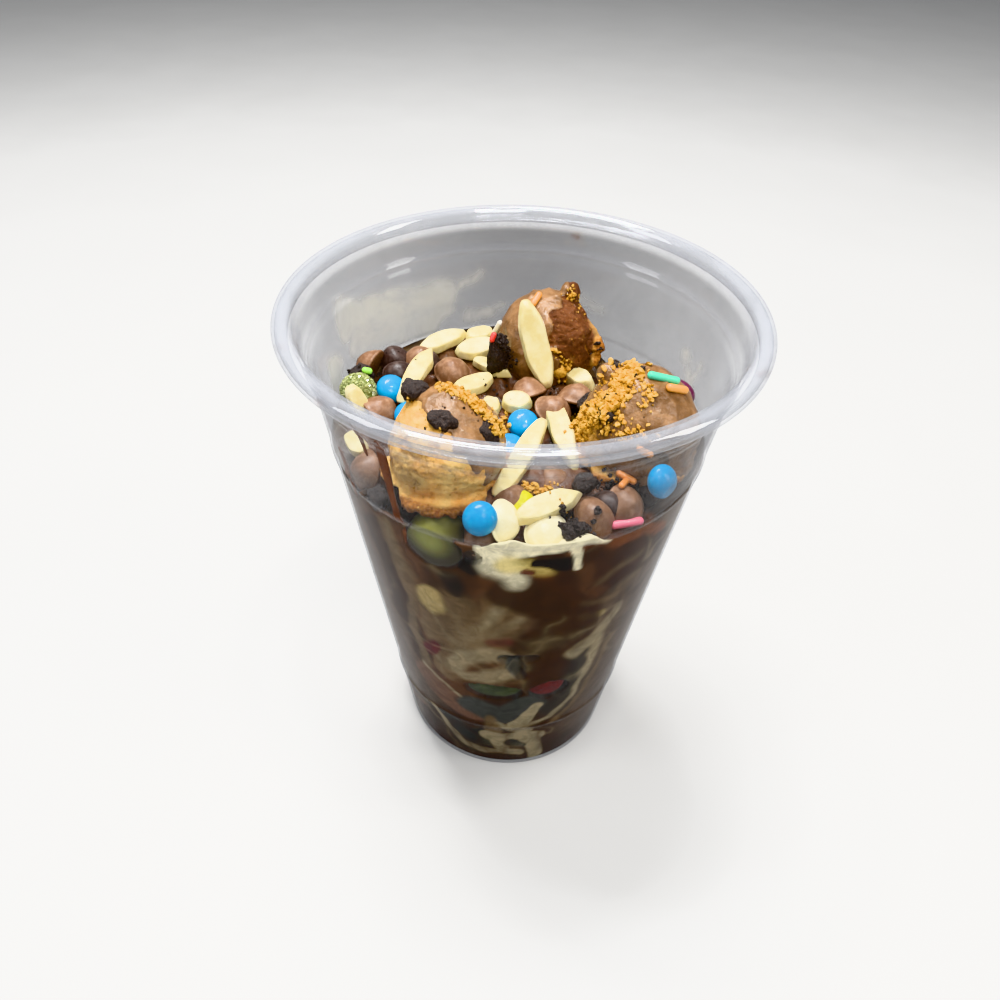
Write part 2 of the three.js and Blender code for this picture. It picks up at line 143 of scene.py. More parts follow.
def lumps(p, scale, phase):
    """The slow lumpiness that the solids have."""
    x, y, z = p.T
    a = np.sin(x * scale + phase) * np.cos(y * scale * 1.3 - phase)
    b = np.sin(z * scale * 1.1 + 2 * phase + x * scale * 0.7)
    return (a + b) / 2


def turned(heading, dip, roll):
    """The rotation of a piece from its heading, dip and roll in degrees."""
    spin = (
        Matrix.Rotation(math.radians(heading), 3, "Z")
        @ Matrix.Rotation(math.radians(dip), 3, "Y")
        @ Matrix.Rotation(math.radians(roll), 3, "X")
    )
    return np.array(spin)


def placed(points, at, turn):
    return points @ turned(*turn).T + np.array(at)


# ---- meshes


def grid_faces(rows, columns):
    """Quads of a grid of points stored row by row, each row closed on itself."""
    low, j = np.meshgrid(np.arange(rows - 1) * columns, np.arange(columns), indexing="ij")
    k = (j + 1) % columns
    high = low + columns
    return np.stack([low + j, low + k, high + k, high + j], -1).reshape(-1, 4)


def lathe_rows(rows, angles):
    """Points of rings of (radius, height), one pair for each angle, row by row."""
    r, z = rows[..., 0], rows[..., 1]
    return np.stack([r * np.cos(angles), r * np.sin(angles), z], -1).reshape(-1, 3)


def lathe(profile, angles):
    """Points of a profile of (radius, height) turned round Z, row by row."""
    rows = np.repeat(np.asarray(profile, float)[:, None], len(angles), axis=1)
    return lathe_rows(rows, angles)


def full_turn(columns):
    return np.linspace(0, 2 * np.pi, columns, endpoint=False)


def turned_solid(profile, columns):
    """A closed round solid from a profile that starts and ends on the axis: points and faces."""
    return lathe(profile, full_turn(columns)), grid_faces(len(profile), columns)


def icosphere(level):
    made = bmesh.new()
    bmesh.ops.create_icosphere(made, subdivisions=level, radius=1)
    points = np.array([v.co for v in made.verts])
    faces = np.array([[v.index for v in f.verts] for f in made.faces])
    made.free()
    return points, faces


def joined(parts):
    """One list of points and faces from several."""
    points, faces, start = [], [], 0
    for p, f in parts:
        points.append(p)
        faces.extend((f + start).tolist())
        start += len(p)
    return np.concatenate(points), faces


def as_lists(parts):
    points, faces = joined(parts)
    return points.tolist(), faces


def normals(points, faces):
    """A unit normal at each point of a mesh whose faces have three or four corners."""
    f = np.asarray(faces)
    across = np.cross(points[f[:, 1]] - points[f[:, 0]], points[f[:, -1]] - points[f[:, 0]])
    out = np.zeros_like(points)
    for k in range(f.shape[1]):
        for axis in range(3):
            out[:, axis] += np.bincount(f[:, k], across[:, axis], len(points))
    return out / np.maximum(np.linalg.norm(out, axis=1, keepdims=True), 1e-12)


def smoothed(points, faces, rounds):
    """Moves each point halfway to the middle of its neighbours, a number of times."""
    f = np.asarray(faces)
    a = np.concatenate([f[:, k] for k in range(f.shape[1])])
    b = np.concatenate([f[:, (k + 1) % f.shape[1]] for k in range(f.shape[1])])
    a, b = np.concatenate([a, b]), np.concatenate([b, a])
    count = np.bincount(a, minlength=len(points))[:, None]
    for _ in range(rounds):
        middle = np.stack([np.bincount(a, points[b, k], len(points)) for k in range(3)], -1) / count
        points = (points + middle) / 2
    return points


def remeshed(points, faces, voxel):
    """One even skin of quads round forms that overlap."""
    rough = bpy.data.meshes.new("rough")
    rough.from_pydata(points.tolist(), [], faces)
    holder = bpy.data.objects.new("rough", rough)
    bpy.context.scene.collection.objects.link(holder)
    skin = holder.modifiers.new("skin", "REMESH")
    skin.mode = "VOXEL"
    skin.voxel_size = voxel
    made = bpy.data.meshes.new_from_object(holder.evaluated_get(bpy.context.evaluated_depsgraph_get()))
    out = np.empty(len(made.vertices) * 3)
    made.vertices.foreach_get("co", out)
    quads = np.array([p.vertices[:] for p in made.polygons])
    bpy.data.objects.remove(holder)
    bpy.data.meshes.remove(rough)
    bpy.data.meshes.remove(made)
    return out.reshape(-1, 3), quads


def add_piece(name, points, faces, material, slot, nodes=(), colours=None, smooth=True, **masks):
    """A mesh object from points in millimetres, with its material, hiding the nodes it stands for.
    The slot is not used.
    """
    mesh = bpy.data.meshes.new(name)
    mesh.from_pydata((points * MM).tolist(), [], faces if isinstance(faces, list) else faces.tolist())
    if colours is not None:
        shade = mesh.color_attributes.new("shade", "FLOAT_COLOR", "POINT")
        shade.data.foreach_set("color", np.concatenate([colours, np.ones((len(colours), 1))], 1).ravel())
    for mask, values in masks.items():
        mesh.attributes.new(mask, "FLOAT", "POINT").data.foreach_set("value", np.asarray(values, np.float32))
    cleaned = bmesh.new()
    cleaned.from_mesh(mesh)
    bmesh.ops.remove_doubles(cleaned, verts=cleaned.verts, dist=1e-7)
    bmesh.ops.recalc_face_normals(cleaned, faces=cleaned.faces)
    cleaned.to_mesh(mesh)
    cleaned.free()
    mesh.polygons.foreach_set("use_smooth", np.full(len(mesh.polygons), smooth))
    mesh.materials.append(material)
    piece = bpy.data.objects.new(name, mesh)
    bpy.context.scene.collection.objects.link(piece)
    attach(piece, "root")
    if nodes:
        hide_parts(*nodes)
    return piece


# ---- material building


class Shader:
    """A short way to write a material's nodes."""

    def __init__(self, name):
        self.material = bpy.data.materials.new(name)
        self.material.use_nodes = True
        self.tree = self.material.node_tree
        self.tree.nodes.clear()
        self.output = self.tree.nodes.new("ShaderNodeOutputMaterial")

    def node(self, kind, inputs=None, **settings):
        made = self.tree.nodes.new("ShaderNode" + kind)
        for key, value in settings.items():
            setattr(made, key, value)
        for key, value in (inputs or {}).items():
            self.put(made.inputs[key], value)
        return made

    def put(self, socket, value):
        if isinstance(value, bpy.types.NodeSocket):
            self.tree.links.new(value, socket)
        else:
            socket.default_value = value

    def place(self):
        return self.node("TexCoord").outputs["Object"]

    def noise(self, size, detail=3.0, roughness=0.55, distortion=0.0):
        """Noise from 0 to 1 with features of about size millimetres."""
        inputs = {
            "Vector": self.place(), "Scale": 1 / (size * MM), "Detail": detail,
            "Roughness": roughness, "Distortion": distortion,
        }
        return self.node("TexNoise", inputs).outputs["Fac"]

    def mask(self, name):
        return self.node("Attribute", attribute_name=name).outputs["Fac"]

    def ramp(self, value, low, high, first=0.0, last=1.0):
        inputs = {"Value": value, "From Min": low, "From Max": high, "To Min": first, "To Max": last}
        return self.node("MapRange", inputs, interpolation_type="SMOOTHSTEP").outputs["Result"]

    def patches(self, size, detail, roughness, low, high, first=0.0, last=1.0):
        """Noise pulled apart into patches."""
        return self.ramp(self.noise(size, detail, roughness), low, high, first, last)

    def math(self, operation, *values):
        made = self.node("Math", operation=operation)
        for socket, value in zip(made.inputs, values):
            self.put(socket, value)
        return made.outputs[0]

    def blend(self, share, a, b, kind="MIX"):
        made = self.node("Mix", data_type="RGBA", blend_type=kind)
        self.put(made.inputs[0], share)
        self.put(made.inputs[6], a)
        self.put(made.inputs[7], b)
        return made.outputs[2]

    def flecked(self, under, colour, *patches):
        return self.blend(self.patches(*patches), under, rgba(colour))

    def bump(self, height, strength, depth, normal=None):
        inputs = {"Height": height, "Strength": strength, "Distance": depth * MM}
        if normal is not None:
            inputs["Normal"] = normal
        return self.node("Bump", inputs).outputs["Normal"]

    def principled(self, **inputs):
        if "Coat_Weight" in inputs and "Normal" in inputs:
            inputs["Coat_Normal"] = inputs["Normal"]
        return self.node("BsdfPrincipled", {key.replace("_", " "): value for key, value in inputs.items()})

    def mixed(self, share, a, b):
        return self.node("MixShader", {0: share, 1: a.outputs[0], 2: b.outputs[0]})

    def finish(self, shader):
        self.tree.links.new(shader.outputs[0], self.output.inputs["Surface"])
        return self.material

    def surface(self, colour, layers, bumps=(), **inputs):
        """A finished material: layers of (patches, share, colour) over the first colour, and
        bumps of (noise, strength, depth) from the widest to the finest."""
        shade = rgba(colour)
        for patches, share, over in layers:
            shade = self.flecked(shade, over, *patches, 0.0, share)
        normal = None
        for grain, strength, depth in bumps:
            normal = self.bump(self.noise(*grain), strength, depth, normal)
        if normal is not None:
            inputs["Normal"] = normal
        return self.finish(self.principled(Base_Color=shade, **inputs))


def chocolate(name, colour, pale, roughness):
    """Moulded chocolate: satin, a little worn and pale in patches, with fine scuffs."""
    s = Shader(name)
    rough = s.patches(0.8, 3, 0.55, 0.3, 0.8, roughness - 0.08, roughness + 0.16)
    layers = (((1.6, 5, 0.65, 0.42, 0.72), 0.55, pale), ((0.35, 4, 0.7, 0.55, 0.75), 0.3, pale))
    bumps = (((2.2, 2), 0.4, 0.3), ((0.5, 5, 0.7), 0.35, 0.12))
    return s.surface(colour, layers, bumps, Roughness=rough, Specular_IOR_Level=0.35)


def sugar_shell(name, colour, pale):
    """The glossy shell of a candy, faintly mottled."""
    return Shader(name).surface(
        colour, [((0.9, 4, 0.6, 0.45, 0.75), 1, pale)], [((1.2, 3), 0.25, 0.14)],
        Roughness=0.4, Specular_IOR_Level=0.15, Coat_Weight=0.4, Coat_Roughness=0.04,
    )


def almond_flesh():
    """Pale cut almond with a faint grain, creamier in patches."""
    layers = (
        ((2.6, 3, 0.55, 0.35, 0.7), 1, (231, 220, 172)),
        ((0.7, 5, 0.7, 0.58, 0.78), 1, (214, 192, 128)),
    )
    return Shader("almond flesh").surface(
        (213, 197, 138), layers, (((2.5, 3), 0.35, 0.3), ((0.45, 5, 0.65), 0.3, 0.14)),
        Roughness=0.42, Subsurface_Weight=0.12, Subsurface_Radius=(0.0016, 0.0012, 0.0006),
        Coat_Weight=0.12, Coat_Roughness=0.3,
    )


def cookie_crumb():
    """Nearly black, dry and grainy, with a few lighter grains."""
    return Shader("cookie crumb").surface(
        (38, 29, 26), [((0.35, 4, 0.7, 0.5, 0.75), 1, (88, 70, 60))],
        (((0.9, 4, 0.7), 0.6, 0.4), ((0.22, 5, 0.75), 0.8, 0.25)),
        Roughness=0.72, Specular_IOR_Level=0.45,
    )


def golden_crumb():
    """Toasted crumbs, each of a slightly different gold."""
    layers = (
        ((1.3, 3, 0.55, 0.35, 0.68), 1, (224, 178, 86)),
        ((0.4, 4, 0.7, 0.6, 0.8), 1, (136, 84, 30)),
    )
    bumps = [((0.25, 4, 0.7), 0.6, 0.2)]
    return Shader("golden crumb").surface((184, 132, 42), layers, bumps, Roughness=0.6)


def shaded(name, roughness, coat=0.0, specular=0.5):
    """Takes its colour from the piece's own points, with a fine grain over it."""
    s = Shader(name)
    own = s.node("Attribute", attribute_name="shade").outputs["Color"]
    shade = s.blend(s.patches(0.5, 4, 0.55, 0.4, 0.8, 0.0, 0.22), own, (1, 1, 1, 1), "SOFT_LIGHT")
    skin = s.principled(
        Base_Color=shade, Roughness=roughness, Normal=s.bump(s.noise(0.6, 4, 0.6), 0.25, 0.12),
        Specular_IOR_Level=specular, Coat_Weight=coat, Coat_Roughness=0.1,
    )
    return s.finish(skin)


def filling_skin():
    """Sauce and cream pressed against the wall and melted on top: the points' colours, mottled."""
    s = Shader("filling skin")
    own = s.node("Attribute", attribute_name="shade").outputs["Color"]
    shade = s.blend(1.0, own, s.ramp(s.noise(4, 5, 0.6, 1.2), 0.3, 0.7, 0.74, 1.14), "MULTIPLY")
    shade = s.blend(1.0, shade, s.patches(1.1, 4, 0.6, 0.35, 0.75, 1.03, 0.9), "MULTIPLY")
    top = s.mask("top")
    normal = s.bump(s.noise(0.8, 5, 0.65), s.math("MULTIPLY", top, 0.5), 0.4)
    skin = s.principled(
        Base_Color=shade, Roughness=0.6, Normal=normal, Specular_IOR_Level=0.04,
        Coat_Weight=s.math("MULTIPLY", top, 0.5), Coat_Roughness=0.2,
    )
    return s.finish(skin)


def waffle_skin():
    """Baked crust with pores, torn golden crumb, and a glossy coat of milk chocolate."""
    s = Shader("waffle skin")
    crust = s.flecked(rgba((254, 212, 130)), (234, 170, 86), 4.5, 4, 0.6, 0.3, 0.7)
    baked = s.flecked(rgba((110, 68, 42)), (76, 45, 27), 2.6, 4, 0.65, 0.3, 0.7)
    crust = s.blend(s.mask("bake"), crust, baked)
    crust = s.flecked(crust, (226, 168, 86), 0.8, 5, 0.7, 0.58, 0.74, 0.0, 0.5)
    crust = s.flecked(crust, (84, 40, 18), 1.7, 4, 0.7, 0.56, 0.7, 0.0, 0.5)
    torn = s.flecked(rgba((188, 130, 64)), (138, 84, 36), 0.9, 5, 0.7, 0.35, 0.65)
    torn = s.flecked(torn, (108, 58, 24), 2.4, 4, 0.7, 0.45, 0.68, 0.0, 0.8)
    crust = s.blend(s.mask("crumb"), crust, torn)
    flow = s.ramp(s.noise(3.5, 4, 0.6, 0.8), 0.35, 0.7)
    milk = s.blend(flow, rgba((106, 76, 48)), rgba((138, 104, 72)))
    edge = s.math("ADD", s.mask("glaze"), s.patches(1.4, 4, 0.6, 0.2, 0.8, -0.22, 0.22))
    glaze = s.ramp(edge, 0.46, 0.54)
    shade = s.blend(glaze, crust, milk)
    rough = s.math("SUBTRACT", 0.62, s.math("MULTIPLY", glaze, 0.2))
    pores = s.math("MULTIPLY", s.noise(0.7, 6, 0.72), s.math("SUBTRACT", 1.0, s.math("MULTIPLY", glaze, 0.8)))
    normal = s.bump(pores, 0.9, 0.5, s.bump(s.noise(2, 3), 0.7, 0.7))
    skin = s.principled(
        Base_Color=shade, Roughness=rough, Normal=normal, Specular_IOR_Level=0.14,
        Coat_Weight=s.math("MULTIPLY_ADD", glaze, 0.3, 0.05), Coat_Roughness=0.05,
    )
    return s.finish(skin)


def fruit_skin(name, colour, pale):
    """Flesh or sauce that lies flat against the wall, so that it doesn't shine."""
    return Shader(name).surface(
        colour, [((2.4, 4, 0.6, 0.35, 0.7), 1, pale)], [((0.9, 4), 0.3, 0.2)],
        Roughness=0.55, Specular_IOR_Level=0.05,
    )


def sugar_grain():
    """Sugar grains: glossy, a little see-through and faintly green."""
    layers = [((0.5, 2, 0.55, 0.4, 0.6), 1, (176, 180, 130))]
    return Shader("sugar grain").surface(
        (136, 142, 88), layers, Roughness=0.12, Specular_IOR_Level=0.8, Alpha=0.8,
    )


def clear_plastic():
    """Thin formed plastic: see-through and glossy, greyed by a milky layer and smears on it. The grey
    tint is painted shade, and the whitish layer on the rim, its rings and near the silhouettes is
    painted reflection.
    """
    s = Shader("clear plastic")
    facing = s.node("LayerWeight", {"Blend": 0.5}).outputs["Facing"]
    # painted shade: the tint mask greys what shows through the plastic
    tint = s.blend(s.mask("tint"), (0.972, 0.976, 0.98, 1), (0.48, 0.482, 0.49, 1))
    grazing = s.math("MULTIPLY", s.math("POWER", facing, 3.5), 0.85)
    through = s.node("BsdfTransparent", {"Color": s.blend(grazing, tint, (0.4, 0.41, 0.44, 1))})
    # painted reflection: the whitish layer is paler on the rim and along its rings
    haze_and_sheen_colour = s.blend(s.mask("rim"), rgba((146, 146, 152)), rgba((200, 202, 208)))
    haze_and_sheen = s.node("BsdfDiffuse", {"Color": haze_and_sheen_colour})
    # cream smears, partly painted reflection: the whitish band on the back wall
    cream_and_sheen = s.node("BsdfDiffuse", {"Color": rgba((204, 203, 194))})
    stain = s.principled(Base_Color=rgba((120, 72, 44)), Roughness=0.3)
    # painted reflection: the whitish layer grows towards the silhouettes
    edge = s.math("MULTIPLY", s.math("POWER", facing, 5.0), 0.15)
    uneven = s.ramp(s.noise(9, 3, 0.6, 0.8), 0.2, 0.8, 0.7, 1.3)
    wall = s.mixed(s.math("MULTIPLY", s.math("ADD", s.mask("film_and_sheen"), edge), uneven), through, haze_and_sheen)
    ragged = s.math("MULTIPLY", s.mask("cream_and_sheen"), s.ramp(s.noise(8, 4, 0.5, 0.6), 0.25, 0.75, 0.65, 1.2))
    wall = s.mixed(s.ramp(ragged, 0.1, 1.2, 0.0, 0.5), wall, cream_and_sheen)
    spots = s.math("MULTIPLY", s.mask("stain"), s.patches(1.2, 4, 0.7, 0.35, 0.6))
    wall = s.mixed(spots, wall, stain)
    normal = s.bump(s.noise(14, 2, 0.5), 0.12, 0.5)
    shine = s.node("BsdfGlossy", {"Color": (1, 1, 1, 1), "Roughness": 0.06, "Normal": normal})
    mirror = s.math("MULTIPLY_ADD", s.math("POWER", facing, 6.0), 0.4, 0.014)
    mirror = s.math("MULTIPLY_ADD", s.mask("rim"), 0.05, mirror)
    return s.finish(s.mixed(mirror, wall, shine))


def pale_floor():
    s = Shader("pale floor")
    shade = s.blend(s.noise(60, 3), rgba((190, 189, 187)), rgba((198, 197, 195)))
    return s.finish(s.principled(Base_Color=shade, Roughness=0.6))


MATERIALS = {
    "plastic": clear_plastic(),
    "filling": filling_skin(),
    "waffle": waffle_skin(),
    "almond": almond_flesh(),
    "milk": chocolate("milk chocolate", (112, 80, 58), (162, 128, 102), 0.42),
    "dark": chocolate("dark chocolate", (54, 40, 36), (98, 82, 76), 0.44),
    "white": chocolate("white chocolate", (236, 226, 186), (250, 246, 224), 0.36),
    "blue": sugar_shell("blue shell", (0, 134, 186), (0, 154, 202)),
    "purple": sugar_shell("purple shell", (84, 34, 58), (112, 54, 82)),
    "yellow": sugar_shell("yellow shell", (176, 170, 18), (200, 194, 50)),
    "cookie": cookie_crumb(),
    "gold": golden_crumb(),
    "nut": golden_crumb(),
    "grape": shaded("green grape", 0.5, 0.0, 0.06),
    "green_fruit": fruit_skin("green fruit", (48, 56, 28), (74, 80, 46)),
    "red_fruit": fruit_skin("red fruit", (84, 9, 7), (112, 20, 14)),
    "sugar": sugar_grain(),
    "strand": shaded("sugar strand", 0.35, 0.3),
    "sauce": fruit_skin("chocolate sauce", (92, 46, 16), (118, 64, 28)),
}

# ---- the cup's lines


def outer_radius(z):
    """Radius of the wall's outside at heights above the foot."""
    z = np.asarray(z, float)
    rings = sum(np.exp(-(((z - ring) / RING_WIDTH) ** 2)) for ring in STACK_RINGS)
    return plain_radius(z) + RING_HEIGHT * rings


def plain_radius(z):
    """The wall's outside without the two rings."""
    cone = CONE_TOP_RADIUS - SLOPE * (CONE_TOP - z)
    return np.where(z < CONE_TOP, cone, np.interp(z, *np.transpose(STEP_LINE)))


def inner_radius(z):
    return outer_radius(z) - SHEET


def kept_inside(points, clearance=0.05):
    """Flattens what would pass through the wall against the wall's inside."""
    r = np.hypot(points[:, 0], points[:, 1])
    share = np.minimum(1, (plain_radius(points[:, 2]) - SHEET - clearance) / np.maximum(r, 1e-6))
    return points * np.stack([share, share, np.ones_like(share)], -1)


def near_line(angle, z, line, width):
    """How far inside a smear each place on the wall is, in millimetres: the smear follows a line
    of (angle, height) and its half-width goes from width[0] to width[1]."""
    line = np.asarray(line, float)
    around = np.radians(1) * inner_radius(z)
    best = np.full(len(angle), -1e9)
    for k in range(max(1, len(line) - 1)):
        a, b = line[k], line[min(k + 1, len(line) - 1)]
        dx, dy = (angle - a[0]) * around, z - a[1]
        lx, ly = (b[0] - a[0]) * around, b[1] - a[1]
        t = np.clip((dx * lx + dy * ly) / np.maximum(lx**2 + ly**2, 1e-9), 0, 1)
        share = (k + t) / max(1, len(line) - 1)
        half = width[0] + (width[1] - width[0]) * share
        best = np.maximum(best, half - np.hypot(dx - t * lx, dy - t * ly))
    return best


# ---- the cup

# Smears of cream on the inside of the back wall, with half-widths. They also stand in for a
# whitish band of reflection there, so they are partly painted reflection.
BACK_CREAM_AND_SHEEN = (
    (((160, 107), (147, 104.5), (132, 103), (118, 103)), (4.6, 3.4)),
    (((158, 101), (140, 99), (126, 97), (118, 99)), (3.4, 2.4)),
    (((116, 102.4), (109, 104.5), (104, 106.4)), (0.9, 0.5)),
    (((110, 96.5), (103, 97), (98, 99.5)), (1.8, 0.5)),
    (((22, 99), (16, 95)), (1.6, 0.8)),
    (((28, 85), (20, 92), (14, 101)), (1.2, 0.5)),
    (((-152, 97), (-146, 90), (-141, 78)), (1.6, 3)),
    (((-30, 80), (-27, 60), (-30, 45)), (2, 1)),
    (((172, 100), (178, 92), (185, 84)), (3, 2)),
    (((60, 99), (72, 101), (84, 98)), (1.2, 2)),
)
# Chocolate smudges near the rim: place and size.
STAINS = (
    ((-160, 117), 2.2), ((-133, 119), 1.6), ((-22, 118), 2.2), ((-126, 114), 1.4), ((75, 116), 1.2),
)


def bead(radius, start, end, steps):
    """An arc about the middle of the rim's bead."""
    a = np.radians(np.linspace(start, end, steps))
    return BEAD_MIDDLE + radius * np.stack([np.cos(a), np.sin(a)], -1)


def cup_profile():
    """The foot, the wall's outside, the rolled bead, the wall's inside and the floor."""
    near_rings = [np.arange(ring - 1.25, ring + 1.3, 0.4) for ring in STACK_RINGS]
    rows = [np.arange(1.2, 109, 1.0), np.arange(109.2, 117.7, 0.35), *near_rings]
    heights = np.unique(np.concatenate(rows))
    outside = np.stack([outer_radius(heights), heights], -1)
    inside = np.stack([inner_radius(heights), heights], -1)[::-1]
    under = bead(BEAD_RADIUS - SHEET, 180, -120, 14)
    over = bead(BEAD_RADIUS, -120, 180, 26)
    return np.concatenate([FOOT_OUTSIDE, outside, under, over, inside, FOOT_INSIDE])


def haze_sheen_and_shade_masks(angle, z):
    """How milky and how grey the plastic is: most on the rim, its rings and the free back wall. The
    white on the rim and its rings is painted reflection and painted highlight, the grey tint painted shade.
    """
    behind = smoothstep(-0.35, 0.35, np.sin(np.radians(angle)))
    (dip_x, dip_y), _, depth = HOLLOW
    dip_angle = math.degrees(math.atan2(dip_y, dip_x))
    lower = depth * np.exp(-(((angle - dip_angle) / 18) ** 2))
    above = smoothstep(90, 95, z + 1.4 * lower) * smoothstep(118, 116, z)
    # painted highlight: thin pale lines along the two stack rings and the step
    rings = sum(np.exp(-(((z - ring) / 0.4) ** 2)) for ring in (*STACK_RINGS, STEP_RING))
    on_bead = smoothstep(116.5, 118, z)
    rim = np.maximum(on_bead, 0.45 * rings)
    facing_front = behind * np.abs(np.sin(np.radians(angle))) ** 4
    # on the bead and along the rings this whitish layer is painted reflection and painted highlight; on the
    # back wall it is milky plastic
    film_and_sheen = 0.004 + 0.1 * above * behind + 0.17 * rim
    # painted shade: the tint greys what shows through the back wall, most straight behind, and through the
    # bead
    tint = 0.05 + above * (0.1 + 0.5 * behind + 0.28 * facing_front) + 0.15 * on_bead
    return {"film_and_sheen": film_and_sheen, "tint": tint, "rim": rim}


def cream_and_sheen_mask(points, angle, r, z):
    # cream smears and a painted band of reflection on the inside of the back wall
    warp = waves(points, (2.6, 13, 3), (1.1, 5, 4))
    cream_and_sheen = np.full(len(points), -9.0)
    for line, width in BACK_CREAM_AND_SHEEN:
        for lap in (-360, 0, 360):
            cream_and_sheen = np.maximum(cream_and_sheen, near_line(angle + lap + warp, z + warp, line, width))
    on_inside = r < inner_radius(z) + SHEET / 2
    return smoothstep(-2.4, 1.6, cream_and_sheen) * on_inside


def stain_mask(angle, r, z):
    stain = np.zeros(len(z))
    for (at, height), size in STAINS:
        across = np.hypot((angle - at) * np.radians(1) * r, z - height)
        stain = np.maximum(stain, smoothstep(size, 0, across))
    return stain * 0.6


def cup():
    points, faces = turned_solid(cup_profile(), CUP_SEGMENTS)
    angle = np.degrees(np.arctan2(points[:, 1], points[:, 0]))
    r, z = np.hypot(points[:, 0], points[:, 1]), points[:, 2]
    masks = haze_sheen_and_shade_masks(angle, z)
    masks["cream_and_sheen"] = cream_and_sheen_mask(points, angle, r, z)
    masks["stain"] = stain_mask(angle, r, z)
    add_piece("clear_cup", points, faces, MATERIALS["plastic"], "clear_plastic", ["cup"], **masks)
